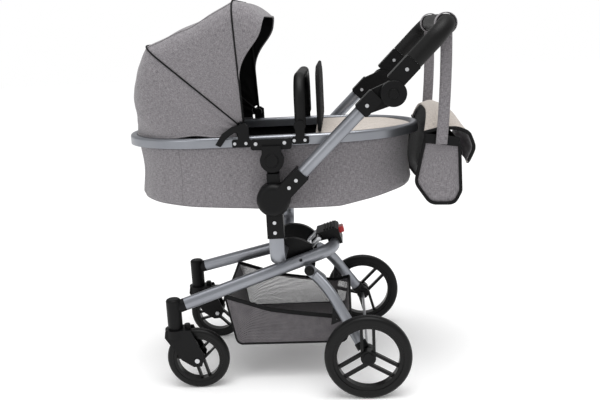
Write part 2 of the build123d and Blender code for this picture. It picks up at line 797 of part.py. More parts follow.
def make_handle_clamp(name, side):
    """Socket on the end of a handle tube with an ear that carries the tilting sleeve."""
    turn = radians(handle_angle)
    clamp_y = max(side * handle_inner, side * handle_outer)
    with BuildPart() as clamp:
        with BuildSketch(plate_plane(*handle_start, handle_angle, clamp_y)):
            with Locations((tube_length + clamp_length / 2, 0)):
                RectangleRounded(clamp_length, 28, 4)
        extrude(amount=2 * handle_half_depth)
        ear_plane, ear_depth = between(side, handle_inner, ear_outer)
        with BuildSketch(ear_plane):
            with Locations((tilt_x, tilt_z)):
                Circle(ear_radius)
            Polygon(
                along(handle_start, handle_angle, tube_length + 8, -14),
                along(handle_start, handle_angle, tube_length + 8, 12),
                along(handle_start, handle_angle, tube_length + clamp_length, 12),
                along((tilt_x, tilt_z), handle_angle, 8, ear_radius - 2),
                (tilt_x, tilt_z),
                along((tilt_x, tilt_z), handle_angle, -12, -ear_radius + 5),
                align=None,
            )
        extrude(amount=ear_depth)
        room_plane, room_depth = between(side, ear_outer, handle_outer + 1)
        with BuildSketch(room_plane):
            with Locations((tilt_x, tilt_z)):
                Circle(tilt_radius + 0.6)
        extrude(amount=room_depth, mode=Mode.SUBTRACT)
        pin_plane, pin_depth = between(side, ear_outer - 1, ear_outer + 5.5)
        with BuildSketch(pin_plane):
            with Locations((tilt_x, tilt_z)):
                Circle(tilt_pin_radius)
        extrude(amount=pin_depth)
        bore_start = along(handle_start, handle_angle, tube_length)
        with BuildSketch(Plane(
            origin=(bore_start[0], side * handle_y, bore_start[1]),
            x_dir=(0, 1, 0), z_dir=(cos(turn), 0, sin(turn)),
        )):
            Circle(handle_tube_radius + 0.1)
        extrude(amount=clamp_bore + 0.3, mode=Mode.SUBTRACT)
        cut_screw_holes(side, (clamp_screw,), handle_outer)
        cut_screw_holes(side, (clamp_screw,), handle_inner, 1)
    write(clamp.part, name)


sleeve_length = 50.0
sleeve_inside = 38.0  # length of the grip's bar inside a sleeve
sleeve_disc_outer = handle_outer + 3.0
tilt_button_radius = 8.5
pocket_floor = handle_outer - 4.0


def make_handle_sleeve(name, side):
    """Sleeve on the grip's bar; its disc turns on the clamp's stud."""
    turn = radians(grip_angle)
    sleeve_y = max(side * handle_inner, side * handle_outer)
    with BuildPart() as sleeve:
        disc_plane, disc_depth = between(side, ear_outer + 0.4, sleeve_disc_outer)
        with BuildSketch(disc_plane):
            with Locations((tilt_x, tilt_z)):
                Circle(tilt_radius)
        extrude(amount=disc_depth)
        disc_face = sleeve.faces().sort_by(Axis.Y)[0 if side < 0 else -1]
        fillet(disc_face.edges(), radius=2)
        with BuildSketch(plate_plane(*grip_start, grip_angle, sleeve_y)):
            with Locations((-sleeve_length / 2 - 0.3, 0)):
                RectangleRounded(sleeve_length, 31, 3)
        extrude(amount=2 * handle_half_depth)
        room_plane, room_depth = between(side, handle_inner - 1, ear_outer + 0.4)
        with BuildSketch(room_plane):
            with Locations((tilt_x, tilt_z)):
                Circle(ear_radius + 0.6)
        extrude(amount=room_depth, mode=Mode.SUBTRACT)
        pin_plane, pin_depth = between(side, ear_outer, ear_outer + 6)
        with BuildSketch(pin_plane):
            with Locations((tilt_x, tilt_z)):
                Circle(tilt_pin_radius + running_fit)
        extrude(amount=pin_depth, mode=Mode.SUBTRACT)
        pocket_plane, pocket_depth = between(side, pocket_floor, sleeve_disc_outer)
        with BuildSketch(pocket_plane):
            with Locations((tilt_x, tilt_z)):
                Circle(tilt_button_radius + 0.3)
        extrude(amount=pocket_depth, mode=Mode.SUBTRACT)
        with BuildSketch(Plane(
            origin=(grip_start[0], side * handle_y, grip_start[1]),
            x_dir=(0, 1, 0), z_dir=(cos(turn), 0, sin(turn)),
        )):
            Circle(bar_radius + 0.1)
        extrude(amount=-sleeve_inside - 0.3, mode=Mode.SUBTRACT)
        cut_screw_holes(side, (sleeve_screw,), handle_outer)
        cut_screw_holes(side, (sleeve_screw,), handle_inner, 1)
    write(sleeve.part, name)


def make_round_button(name, side, x, z, inner, outer, radius):
    plane, depth = between(side, inner, outer)
    with BuildPart() as button:
        with BuildSketch(plane):
            with Locations((x, z)):
                Circle(radius)
        extrude(amount=depth)
        outer_face = button.faces().sort_by(Axis.Y)[0 if side < 0 else -1]
        fillet(outer_face.edges(), radius=1.2)
    write(button.part, name)


recline_button_radius = 11.5
recline_pocket = disc_inner + 4.4
button_press = 2.5
for side_name, side in SIDES:
    make_corner_joint(f"corner_joint_{side_name}", side)
    make_handle_tube(f"handle_tube_{side_name}", side)
    make_handle_clamp(f"handle_clamp_{side_name}", side)
    make_handle_sleeve(f"handle_sleeve_{side_name}", side)
    make_round_button(
        f"tilt_button_{side_name}", side, tilt_x, tilt_z,
        pocket_floor + button_press + 0.5, sleeve_disc_outer + 2.0, tilt_button_radius,
    )
    make_round_button(
        f"recline_button_{side_name}", side, recline_x, recline_z,
        recline_pocket + button_press + 0.5, disc_outer + 1.6, recline_button_radius,
    )

grip_turn = radians(grip_angle)
GRIP_PLANE = Plane(
    origin=(grip_start[0], 0, grip_start[1]),
    x_dir=(0, 1, 0),
    z_dir=(sin(grip_turn), 0, -cos(grip_turn)),
)


def make_bow_tube(name, start, radius, bore):
    """Tube that follows the U of the grip from one sleeve to the other."""
    with BuildPart() as tube:
        with BuildLine(GRIP_PLANE) as path:
            FilletPolyline(
                (-handle_y, start), (-handle_y, grip_reach), (handle_y, grip_reach), (handle_y, start),
                radius=grip_corner,
            )
        line = path.wire()
        with BuildSketch(Plane(origin=line @ 0, z_dir=line % 0)):
            Circle(radius)
            Circle(bore, mode=Mode.SUBTRACT)
        sweep(path=line)
    write(tube.part, name)


make_bow_tube("handle_bar", -sleeve_inside, bar_radius, bar_radius - tube_wall)
make_bow_tube("handle_grip", 0.0, grip_radius, bar_radius + 0.1)

with BuildPart() as handle_screws:
    for side_name, side in SIDES:
        add_screws(side, (sleeve_screw,), handle_outer)
        add_screws(side, (sleeve_screw,), handle_inner, 1)
write(handle_screws.part, "handle_screws")

# ================================================================ carrycot
def oval_outline(head_length, foot_length, half_width):
    """Closed plan curve: two half ellipses joined by straight sides."""
    with BuildSketch(mode=Mode.PRIVATE) as outline:
        with BuildLine():
            EllipticalCenterArc(
                (rim_head_x, 0), head_length, half_width, start_angle=90, arc_size=180,
            )
            Line((rim_head_x, -half_width), (rim_foot_x, -half_width))
            EllipticalCenterArc(
                (rim_foot_x, 0), foot_length, half_width, start_angle=-90, arc_size=180,
            )
            Line((rim_foot_x, half_width), (rim_head_x, half_width))
        make_face()
    return outline.sketch


def inset_outline(inset):
    return oval_outline(rim_head_length - inset, rim_foot_length - inset, cot_half_width - inset)


def shell_outline(inset):
    return oval_outline(
        rim_head_length - cot_head_inset - inset,
        rim_foot_length - cot_foot_inset - inset,
        cot_half_width - cot_side_inset - inset,
    )


with BuildPart() as cot_rim:
    with BuildSketch(Plane.XY.offset(rim_bottom)):
        add(inset_outline(0))
        add(inset_outline(rim_band), mode=Mode.SUBTRACT)
    extrude(amount=rim_top - rim_bottom)
    fillet(cot_rim.faces().sort_by(Axis.Z)[-1].edges(), radius=5)
write(cot_rim.part, "cot_rim")

foot_rise = 21.0  # the floor climbs this much towards the foot end
foot_rise_x = 80.0
foot_slope = foot_rise / 146.0


def oval_block(inset, low, high, lift):
    """Upright block with the cot's plan, its floor climbing towards the foot end."""
    with BuildPart(mode=Mode.PRIVATE) as block:
        with BuildSketch(Plane.XY.offset(low)):
            add(shell_outline(inset))
        extrude(amount=high - low)
        with BuildSketch(Plane.XZ.offset(-200)):
            Polygon(
                (foot_rise_x, cot_bottom + lift - 50), (foot_rise_x, cot_bottom + lift),
                (300, cot_bottom + lift + 220 * foot_slope), (300, cot_bottom + lift - 50), align=None,
            )
        extrude(amount=400, mode=Mode.SUBTRACT)
    return block.part


with BuildPart() as cot_shell:
    add(oval_block(0, cot_bottom, rim_bottom - seat_gap, 0))
    add(
        oval_block(cot_wall, cot_bottom + cot_floor, rim_bottom + 5, cot_floor),
        mode=Mode.SUBTRACT,
    )
write(cot_shell.part, "cot_shell")

mattress_bottom = cot_bottom + cot_floor + cloth_gap
with BuildPart() as mattress:
    add(oval_block(
        cot_wall + 0.5, mattress_bottom, mattress_bottom + mattress_thickness,
        cot_floor + cloth_gap,
    ))
    fillet(mattress.faces().sort_by(Axis.Z)[-1].edges(), radius=8)
write(mattress.part, "mattress")

plate_inner = cot_half_width + seat_gap
carrier_outer = 150.0
bracket_screws = ((-64.0, 474.4), (-13.4, 474.6))
hood_screws = ((-102.0, 475.0), (-82.0, 475.0))
bumper_screws = ((3.5, 476.5), (22.5, 476.5))
small_plate_outer = plate_inner + 6.0


def make_cot_bracket(name, side):
    """T-shaped carrier on the rim; its disc turns on the knuckle's stud."""
    with BuildPart() as bracket:
        plate, plate_depth = between(side, plate_inner, carrier_outer)
        with BuildSketch(plate):
            with Locations(((-73.5 - 1.2) / 2, 472.5)):
                RectangleRounded(72.3, 19, 5)
        extrude(amount=plate_depth)
        disc, disc_depth = between(side, disc_inner, disc_outer)
        with BuildSketch(disc):
            with Locations((recline_x, recline_z)):
                Circle(recline_radius)
            with Locations((recline_x, (recline_z + 470) / 2)):
                Rectangle(34, 470 - recline_z)
        extrude(amount=disc_depth)
        pocket, pocket_depth = between(side, recline_pocket, disc_outer)
        with BuildSketch(pocket):
            with Locations((recline_x, recline_z)):
                Circle(recline_button_radius + 0.3)
        extrude(amount=pocket_depth, mode=Mode.SUBTRACT)
        bore, bore_depth = between(side, disc_inner, recline_pocket)
        with BuildSketch(bore):
            with Locations((recline_x, recline_z)):
                Circle(pin_radius + running_fit)
        extrude(amount=bore_depth, mode=Mode.SUBTRACT)
        cut_screw_holes(side, bracket_screws, carrier_outer)
    write(bracket.part, name)


for side_name, side in SIDES:
    make_cot_bracket(f"cot_bracket_{side_name}", side)

hinge_pin_radius = 3.0
hood_pin_inner = 120.5
bumper_pin_inner = 122.0
with BuildPart() as rim_brackets:
    for side_name, side in SIDES:
        plate, plate_depth = between(side, plate_inner, small_plate_outer)
        with BuildSketch(plate):
            with Locations((-90.5, 475)):
                RectangleRounded(33, 14, 3)
            with Locations((hood_x, 492)):
                Rectangle(20, 28)
            with Locations((hood_x, hood_z)):
                Circle(10)
            Polygon(
                (-86, 508), (-106, 505), (-124, 493), (-137, 474), (-128, 470),
                (-116, 485), (-102, 494), (-86, 492), align=None,
            )
            with Locations((14.5, 476.5)):
                RectangleRounded(30, 13, 3)
            with Locations((bumper_x, 491)):
                Rectangle(16, 24)
            with Locations((bumper_x, bumper_z)):
                Circle(10)
        extrude(amount=plate_depth)
        hood_pin, hood_pin_depth = between(side, hood_pin_inner, plate_inner + 1)
        with BuildSketch(hood_pin):
            with Locations((hood_x, hood_z)):
                Circle(hinge_pin_radius)
        extrude(amount=hood_pin_depth)
        bumper_pin, bumper_pin_depth = between(side, bumper_pin_inner, plate_inner + 1)
        with BuildSketch(bumper_pin):
            with Locations((bumper_x, bumper_z)):
                Circle(hinge_pin_radius)
        extrude(amount=bumper_pin_depth)
        cut_screw_holes(side, hood_screws + bumper_screws, small_plate_outer)
write(rim_brackets.part, "rim_brackets")

with BuildPart() as cot_screws:
    for side_name, side in SIDES:
        add_screws(side, bracket_screws, carrier_outer)
        add_screws(side, hood_screws + bumper_screws, small_plate_outer, head=2.8)
write(cot_screws.part, "cot_screws")

bumper_bar_half = 10.0
bumper_bar_thickness = 16.0
bumper_corner = 45.0
bumper_crown = bumper_top - bumper_bar_thickness / 2
bumper_fit_outer = plate_inner - 0.2
bumper_fit_inner = bumper_y - bumper_bar_thickness / 2
with BuildPart() as bumper:
    with BuildLine(Plane.YZ.offset(bumper_x + 1)) as bumper_path:
        FilletPolyline(
            (-bumper_y, bumper_z), (-bumper_y, bumper_crown), (bumper_y, bumper_crown),
            (bumper_y, bumper_z), radius=bumper_corner,
        )
    line = bumper_path.wire()
    with BuildSketch(Plane(origin=line @ 0, x_dir=(1, 0, 0), z_dir=line % 0)):
        Ellipse(bumper_bar_half, bumper_bar_thickness / 2)
    sweep(path=line)
    for side_name, side in SIDES:
        fitting, fitting_depth = between(side, bumper_fit_inner, bumper_fit_outer)
        with BuildSketch(fitting):
            with Locations((bumper_x, bumper_z)):
                Circle(10.5)
        extrude(amount=fitting_depth)
    with BuildSketch(Plane.XZ.offset(-200)):
        with Locations((bumper_x, bumper_z)):
            Circle(hinge_pin_radius + running_fit)
    extrude(amount=400, mode=Mode.SUBTRACT)
write(bumper.part, "bumper_bar")

apron_x = 40.0
apron_flap_top = 600.0
with BuildPart() as apron:
    with BuildSketch(Plane.XY.offset(rim_top - 8)):
        add(inset_outline(rim_band + cloth_gap))
        with Locations((apron_x - 250, 0)):
            Rectangle(500, 400, mode=Mode.SUBTRACT)
    extrude(amount=13)
    fillet(apron.faces().sort_by(Axis.Z)[-1].edges(), radius=5)
    with BuildSketch(Plane.YZ.offset(apron_x + 2)):
        with Locations((0, (rim_top + apron_flap_top) / 2)):
            Rectangle(224, apron_flap_top - rim_top)
    extrude(amount=12)
write(apron.part, "apron")

# ---------------------------------------------------------------- folding hood
hood_sections = (
    (77.0, 198.0, 35.0),
    (92.3, 222.0, 42.0),
    (138.0, 226.0, 40.0),
    (160.0, 214.0, 60.0),
    (183.0, 225.0, 100.0),
)


def hood_plane(angle):
    turn = radians(angle)
    return Plane(
        origin=(hood_x, 0, hood_z),
        x_dir=(cos(turn), 0, sin(turn)),
        z_dir=(sin(turn), 0, -cos(turn)),
    )


def hood_form(inset, start, first, last):
    """Cloth form spanned by rounded frames that fan out about the hood's pins."""
    half = hood_half_width - inset
    angles = [first] + [section[0] for section in hood_sections[1:-1]] + [last]
    with BuildPart(mode=Mode.PRIVATE) as form:
        for angle, (_, reach, corner) in zip(angles, hood_sections):
            with BuildSketch(hood_plane(angle)):
                with BuildLine():
                    end = reach - inset
                    FilletPolyline(
                        (start, -half), (end, -half), (end, half), (start, half),
                        radius=corner - inset,
                    )
                    Line((start, half), (start, -half))
                make_face()
        loft(ruled=True)
    return form.part


with BuildPart() as canopy:
    add(hood_form(0, 12.0, hood_sections[0][0], hood_sections[-1][0]))
    add(
        hood_form(hood_cloth, 5.0, hood_sections[0][0] - 1.5, hood_sections[-1][0] + 1.5),
        mode=Mode.SUBTRACT,
    )
write(canopy.part, "canopy")

bow_radius = 2.5
eyelet_radius = 7.0
eyelet_half = 2.6


def make_bow(name, section, leg_y):
    """Wire bow under the hood cloth with an eyelet at each end."""
    angle, reach, corner = section
    crown = reach - 7.0
    with BuildPart() as bow:
        with BuildLine(hood_plane(angle)) as path:
            FilletPolyline(
                (5, -leg_y), (crown, -leg_y), (crown, leg_y), (5, leg_y), radius=corner - 6,
            )
        line = path.wire()
        with BuildSketch(Plane(origin=line @ 0, z_dir=line % 0)):
            Circle(bow_radius)
        sweep(path=line)
        for side_name, side in SIDES:
            eyelet, eyelet_depth = between(side, leg_y - eyelet_half, leg_y + eyelet_half)
            with BuildSketch(eyelet):
                with Locations((hood_x, hood_z)):
                    Circle(eyelet_radius)
            extrude(amount=eyelet_depth)
        with BuildSketch(Plane.XZ.offset(-200)):
            with Locations((hood_x, hood_z)):
                Circle(hinge_pin_radius + running_fit)
        extrude(amount=400, mode=Mode.SUBTRACT)
    write(bow.part, name)


make_bow("canopy_front_bow", hood_sections[1], 129.0)
make_bow("canopy_rear_bow", hood_sections[2], 123.4)

# ================================================================ bag on the handle
bag_outline = ((247, 349), (287, 347), (298, 369), (297, 455), (246, 508), (229, 400))
with BuildPart() as bag_body:
    with BuildSketch(Plane.XZ.offset(-bag_half_width)):
        Polygon(*bag_outline, align=None)
    extrude(amount=2 * bag_half_width)
    mouth = bag_body.faces().sort_by(Axis((0, 0, 0), (1, 0, 1)))[-1]
    offset(amount=-bag_wall, openings=mouth)
write(bag_body.part, "bag_body")

flap_thickness = 4.0
flap_line = ((243, 513), (262, 518), (289, 505), (313, 468), (320.85, 445), (314, 420))
with BuildPart() as bag_flap:
    with BuildSketch(Plane.XZ.offset(-bag_half_width + 2)):
        with BuildLine():
            Spline(*flap_line)
        trace(line_width=flap_thickness)
    extrude(amount=2 * bag_half_width - 4)
write(bag_flap.part, "bag_flap")

grip_top = along(grip_start, grip_angle, grip_reach)
strap_inner = bag_half_width + cloth_gap
strap_outer = strap_inner + strap_thickness
with BuildPart() as bag_straps:
    for side_name, side in SIDES:
        band, band_depth = between(side, strap_inner, strap_outer)
        with BuildSketch(band):
            Polygon(
                (252, 440), (272, 440), (282, 648), (262, 648), align=None,
            )
            with Locations(grip_top):
                Circle(grip_radius + 3.2)
                Circle(grip_radius + 1.2, mode=Mode.SUBTRACT)
        extrude(amount=band_depth)
        loop, loop_depth = between(side, strap_outer - strap_width, strap_outer)
        with BuildSketch(loop):
            with Locations(grip_top):
                Circle(grip_radius + 3.2)
                Circle(grip_radius + 1.2, mode=Mode.SUBTRACT)
        extrude(amount=loop_depth)
write(bag_straps.part, "bag_straps")

# ================================================================ basket
basket_outline = ((-130, 75), (82, 75), (92, 138), (60, 134), (-148, 176.0))
with BuildPart() as basket:
    with BuildSketch(Plane.XZ.offset(-basket_half_width)):
        Polygon(*basket_outline, align=None)
    extrude(amount=2 * basket_half_width)
    with BuildSketch(Plane.XZ.offset(-basket_half_width + basket_wall)):
        Polygon(
            (-127.5, 78), (79.5, 78), (88, 131), (89, 145), (60, 160), (-140, 190), (-144.5, 172),
            align=None,
        )
    extrude(amount=2 * (basket_half_width - basket_wall), mode=Mode.SUBTRACT)
write(basket.part, "basket")

# ================================================================ frame screws
with BuildPart() as frame_screws:
    for side_name, side in SIDES:
        add_screws(side, lower_screws, socket_outer)
        add_screws(side, handle_screw_points, handle_outer)
        add_screws(side, (clamp_screw,), handle_outer)
        add_screws(side, (clamp_screw,), handle_inner, 1)
write(frame_screws.part, "frame_screws")
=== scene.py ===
# %% [markdown]
# # A doll stroller, dressed over its measured frame
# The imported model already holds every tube, hinge, wheel and screw at its real size. This lesson loads it
# as a fixed frame, gives the hard pieces their finishes, and then makes the sewn pieces: hood, carrycot
# cover, apron, bag, straps and basket. Everything is in metres with Z up, and a finished piece keeps its
# place in its own mesh.

# %% Load the frame and keep its size
import json
from math import cos, pi, radians, sin

import bmesh
import bpy
import numpy as np
from mathutils import Matrix, Vector


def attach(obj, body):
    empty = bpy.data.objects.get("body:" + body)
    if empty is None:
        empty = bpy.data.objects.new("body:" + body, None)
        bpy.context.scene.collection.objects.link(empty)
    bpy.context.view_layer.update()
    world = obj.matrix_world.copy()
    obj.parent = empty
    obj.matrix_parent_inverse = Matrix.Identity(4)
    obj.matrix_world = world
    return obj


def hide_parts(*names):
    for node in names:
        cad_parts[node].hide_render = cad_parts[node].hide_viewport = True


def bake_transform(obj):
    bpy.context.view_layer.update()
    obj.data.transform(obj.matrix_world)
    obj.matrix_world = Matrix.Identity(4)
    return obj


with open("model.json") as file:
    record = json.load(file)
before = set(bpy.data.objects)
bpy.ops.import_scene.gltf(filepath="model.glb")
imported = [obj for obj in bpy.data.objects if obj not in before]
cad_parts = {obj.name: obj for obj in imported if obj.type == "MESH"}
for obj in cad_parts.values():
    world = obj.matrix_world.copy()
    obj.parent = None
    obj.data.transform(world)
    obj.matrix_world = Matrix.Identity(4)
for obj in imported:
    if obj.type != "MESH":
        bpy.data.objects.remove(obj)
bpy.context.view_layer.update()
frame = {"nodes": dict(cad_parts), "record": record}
nodes = frame["nodes"]
MM = 0.001
SIDES = (("left", -1), ("right", 1))

# %% [markdown]
# ## Camera and light
# The camera stands level with the hood, a metre and a half to the side, and looks down a little. Its lens
# is 45 mm on a 36 mm sensor. Light comes from a wide ceiling bank, as in a product studio, with one softbox
# overhead and one in front that open the shadows.

# %% Camera
YAW, PITCH, ROLL = radians(-3.62), radians(13.21), radians(-2.99)
forward = Vector((sin(YAW) * cos(PITCH), cos(YAW) * cos(PITCH), -sin(PITCH)))
level_right = Vector((cos(YAW), -sin(YAW), 0))
level_up = level_right.cross(forward)
right = cos(ROLL) * level_right + sin(ROLL) * level_up
up = cos(ROLL) * level_up - sin(ROLL) * level_right
camera_data = bpy.data.cameras.new("camera")
camera_data.lens, camera_data.sensor_width = 45.0, 36.0
camera = bpy.data.objects.new("camera", camera_data)
bpy.context.scene.collection.objects.link(camera)
CAMERA_PLACE = (0.0907, -1.4468, 0.6756)
camera.matrix_world = Matrix.Translation(CAMERA_PLACE) @ Matrix(
    (right, up, -forward)
).transposed().to_4x4()
bpy.context.scene.camera = camera


# %% Lights, backdrop and view
def softbox(name, place, target, size, power):
    """A square area light at place that faces target."""
    lamp = bpy.data.lights.new(name, "AREA")
    lamp.size, lamp.energy = size, power
    made = bpy.data.objects.new(name, lamp)
    made.location = place
    made.rotation_euler = (Vector(target) - Vector(place)).to_track_quat("-Z", "Y").to_euler()
    bpy.context.scene.collection.objects.link(made)


MIDDLE_OF_OBJECT = (0, 0, 0.4)
softbox("top_softbox", (0.1, -0.2, 2.2), MIDDLE_OF_OBJECT, size=1.2, power=14)
softbox("front_softbox", (-1.4, -1.7, 1.2), MIDDLE_OF_OBJECT, size=0.9, power=6)
ceiling = bpy.data.lights.new("ceiling_bank", "SUN")
ceiling.energy, ceiling.angle = 1.5, radians(50)
ceiling_object = bpy.data.objects.new("ceiling_bank", ceiling)
ceiling_object.rotation_euler = (radians(14), radians(6), 0)
bpy.context.scene.collection.objects.link(ceiling_object)
world = bpy.data.worlds.new("studio")
bpy.context.scene.world = world
world.use_nodes = True
sky = world.node_tree
# The backdrop is white to the eye but lights the object more gently.
seen = sky.nodes.new("ShaderNodeLightPath")
strength = sky.nodes.new("ShaderNodeMapRange")
LIT_STRENGTH, SEEN_STRENGTH = 0.55, 1.0
strength.inputs["To Min"].default_value = LIT_STRENGTH
strength.inputs["To Max"].default_value = SEEN_STRENGTH
sky.links.new(seen.outputs["Is Camera Ray"], strength.inputs["Value"])
sky.links.new(strength.outputs["Result"], sky.nodes["Background"].inputs["Strength"])
sky.nodes["Background"].inputs["Color"].default_value = (1, 1, 1, 1)
bpy.context.scene.view_settings.view_transform = "Standard"

# %% [markdown]
# ## Three small helpers for finishes
# A colour is written as sRGB hex, the way a paint chart or a web page gives it, and one function turns it
# into the linear values that shaders add up. Another adds any node with its settings and its links. The
# third starts a material and hands back its tree and its main shader.


# %% Finish helpers
def linear(hex_colour):
    """sRGB hex to linear RGBA: below 0.04045 divide by 12.92, above it ((c + 0.055) / 1.055) to the 2.4."""
    srgb = np.array([int(hex_colour[i:i + 2], 16) / 255 for i in (1, 3, 5)])
    low, high = srgb / 12.92, ((srgb + 0.055) / 1.055) ** 2.4
    return (*np.where(srgb <= 0.04045, low, high), 1.0)


def add_node(tree, kind, values=None, links=None, **settings):
    """Adds one node, sets its properties and input values, and joins other nodes' outputs to its inputs."""
    made = tree.nodes.new(kind)
    for name, value in settings.items():
        setattr(made, name, value)
    for name, value in (values or {}).items():
        made.inputs[name].default_value = value
    for name, source in (links or {}).items():
        tree.links.new(source, made.inputs[name])
    return made


def start_material(name, colour, roughness, **values):
    """A new node material with a flat colour, ready for its pattern."""
    material = bpy.data.materials.new(name)
    material.use_nodes = True
    shader = material.node_tree.nodes["Principled BSDF"]
    shader.inputs["Base Color"].default_value = linear(colour)
    shader.inputs["Roughness"].default_value = roughness
    for socket, value in values.items():
        shader.inputs[socket.replace("_", " ")].default_value = value
    return material, material.node_tree, shader


def two_colours(tree, shader, factor, dark, light):
    """Mixes two sRGB colours by a factor and sends them to the shader's colour."""
    mixed = add_node(
        tree, "ShaderNodeMix", {6: linear(dark), 7: linear(light)}, {0: factor}, data_type="RGBA"
    )
    tree.links.new(mixed.outputs[2], shader.inputs["Base Color"])


def relief(tree, shader, height, depth_mm, strength=1.0):
    """Bump from a height between 0 and 1 that stands for depth_mm millimetres."""
    bump = add_node(
        tree, "ShaderNodeBump", {"Strength": strength, "Distance": depth_mm * MM}, {"Height": height}
    )
    tree.links.new(bump.outputs["Normal"], shader.inputs["Normal"])


# %% [markdown]
# ## Moulded plastic, tyre foam and grip foam
# The joints and wheel rims are injection-moulded ABS with a fine spark-eroded grain: about 0.6 mm between
# grains, a few hundredths deep. Grain is drawn at 1.2 mm so that it shows. The tyres are EVA foam with a
# slightly smoother skin, and the grip's sleeve is a smooth-skinned foam.


# %% Black mouldings
def grained(name, dark, light, roughness, grain_mm, depth_mm, **values):
    """Plastic or foam with one layer of grain and one of slow colour drift, both on object coordinates."""
    material, tree, shader = start_material(name, dark, roughness, **values)
    place = add_node(tree, "ShaderNodeTexCoord").outputs["Object"]
    grain = add_node(
        tree, "ShaderNodeTexNoise", {"Scale": 1 / (grain_mm * MM), "Detail": 3.0}, {"Vector": place}
    )
    drift = add_node(tree, "ShaderNodeTexNoise", {"Scale": 22.0, "Detail": 4.0}, {"Vector": place})
    two_colours(tree, shader, drift.outputs["Fac"], dark, light)
    wear = add_node(
        tree, "ShaderNodeMapRange", {"To Min": roughness - 0.07, "To Max": roughness + 0.09},
        {"Value": drift.outputs["Fac"]},
    )
    tree.links.new(wear.outputs["Result"], shader.inputs["Roughness"])
    relief(tree, shader, grain.outputs["Fac"], depth_mm)
    return material


abs_black = grained("moulded_abs_black", "#050506", "#0A0A0B", 0.46, 1.2, 0.05, Specular_IOR_Level=0.18)
abs_gloss_black = grained("polished_abs_black", "#050505", "#0A0A0A", 0.3, 1.6, 0.02, Specular_IOR_Level=0.22)
eva_black = grained("eva_tyre_foam", "#060606", "#0B0B0B", 0.42, 1.0, 0.08, Specular_IOR_Level=0.22)
grip_foam = grained("skinned_grip_foam", "#060606", "#0B0B0B", 0.5, 0.9, 0.06, Specular_IOR_Level=0.22)
abs_red = grained("moulded_abs_red", "#B80A12", "#D1121B", 0.3, 1.4, 0.02)

# %% [markdown]
# ## Silver tube and bright steel
# The tubes are steel under a silver powder coat: metal flakes in a clear binder, so they gleam softly and
# show a slight orange peel of about 2 mm. Screws and pins are zinc-plated steel, which is true metal with
# drawing marks along it. The wire bows of the hood wear black sleeves.


# %% Metals
def coated_tube():
    """Silver powder coat: half-metallic paint, orange-peel relief, flake sparkle in the roughness."""
    material, tree, shader = start_material("silver_powder_coat", "#9193A0", 0.34, Metallic=0.82)
    place = add_node(tree, "ShaderNodeTexCoord").outputs["Object"]
    peel = add_node(tree, "ShaderNodeTexNoise", {"Scale": 480.0, "Detail": 2.0}, {"Vector": place})
    flake = add_node(tree, "ShaderNodeTexVoronoi", {"Scale": 1500.0}, {"Vector": place})
    cloud = add_node(tree, "ShaderNodeTexNoise", {"Scale": 14.0, "Detail": 3.0}, {"Vector": place})
    two_colours(tree, shader, cloud.outputs["Fac"], "#80838A", "#9B9DA2")
    gloss = add_node(
        tree, "ShaderNodeMapRange", {"To Min": 0.27, "To Max": 0.43}, {"Value": flake.outputs["Distance"]}
    )
    tree.links.new(gloss.outputs["Result"], shader.inputs["Roughness"])
    relief(tree, shader, peel.outputs["Fac"], 0.05)
    return material


def plated_steel():
    """Zinc plate: full metal, with fine marks drawn along X by stretching a noise."""
    material, tree, shader = start_material("zinc_plated_steel", "#C9CACC", 0.28, Metallic=1.0)
    place = add_node(tree, "ShaderNodeTexCoord").outputs["Object"]
    stretched = add_node(tree, "ShaderNodeMapping", {"Scale": (90.0, 1400.0, 1400.0)}, {"Vector": place})
    marks = add_node(
        tree, "ShaderNodeTexNoise", {"Scale": 1.0, "Detail": 2.0}, {"Vector": stretched.outputs["Vector"]}
    )
    two_colours(tree, shader, marks.outputs["Fac"], "#A8A9AC", "#DADBDD")
    relief(tree, shader, marks.outputs["Fac"], 0.01)
    return material


tube_silver, steel_zinc = coated_tube(), plated_steel()

# %% [markdown]
# ## Cloth finishes
# The cover cloth is a melange polyester: single threads of light and dark grey yarn in plain weave. The
# real threads are 0.4 mm apart; they are drawn at 1.1 mm so that the speckle shows. The pattern runs on
# each piece's own UV map, which is in metres, so threads follow the cut. The lining is plain black
# polyester, the edges are bound with black ribbed webbing, and the basket's sides are warp-knit mesh.


# %% Cloths
def thread_waves(tree, pitch_mm):
    """Plain weave height: the higher of two bands at right angles, one along each UV axis."""
    place = add_node(tree, "ShaderNodeTexCoord").outputs["UV"]
    bands = [
        add_node(
            tree, "ShaderNodeTexWave", {"Scale": 1 / (pitch_mm * MM * 20) * 6.2832, "Distortion": 0.6},
            {"Vector": place}, bands_direction=direction,
        ).outputs["Fac"]
        for direction in ("X", "Y")
    ]
    return place, add_node(tree, "ShaderNodeMath", None, {0: bands[0], 1: bands[1]}, operation="MAXIMUM")


def melange(name, dark, light, pitch_mm=1.1, sheen=0.25):
    """Melange cloth: yarn streaks along both thread directions pick the colour, the weave gives relief."""
    material, tree, shader = start_material(name, dark, 0.88, Sheen_Weight=sheen, Sheen_Roughness=0.5)
    place, weave = thread_waves(tree, pitch_mm)
    streaks = []
    for scale in ((150.0, 900.0, 1.0), (900.0, 150.0, 1.0)):
        stretched = add_node(tree, "ShaderNodeMapping", {"Scale": scale}, {"Vector": place})
        streak = add_node(
            tree, "ShaderNodeTexNoise", {"Scale": 1.0, "Detail": 3.0, "Roughness": 0.65},
            {"Vector": stretched.outputs["Vector"]},
        )
        streaks.append(streak.outputs["Fac"])
    yarn = add_node(tree, "ShaderNodeMath", None, {0: streaks[0], 1: streaks[1]}, operation="ADD")
    contrast = add_node(
        tree, "ShaderNodeMapRange", {"From Min": 0.72, "From Max": 1.28}, {"Value": yarn.outputs["Value"]}
    )
    two_colours(tree, shader, contrast.outputs["Result"], dark, light)
    relief(tree, shader, weave.outputs["Value"], 0.25, 0.7)
    return material


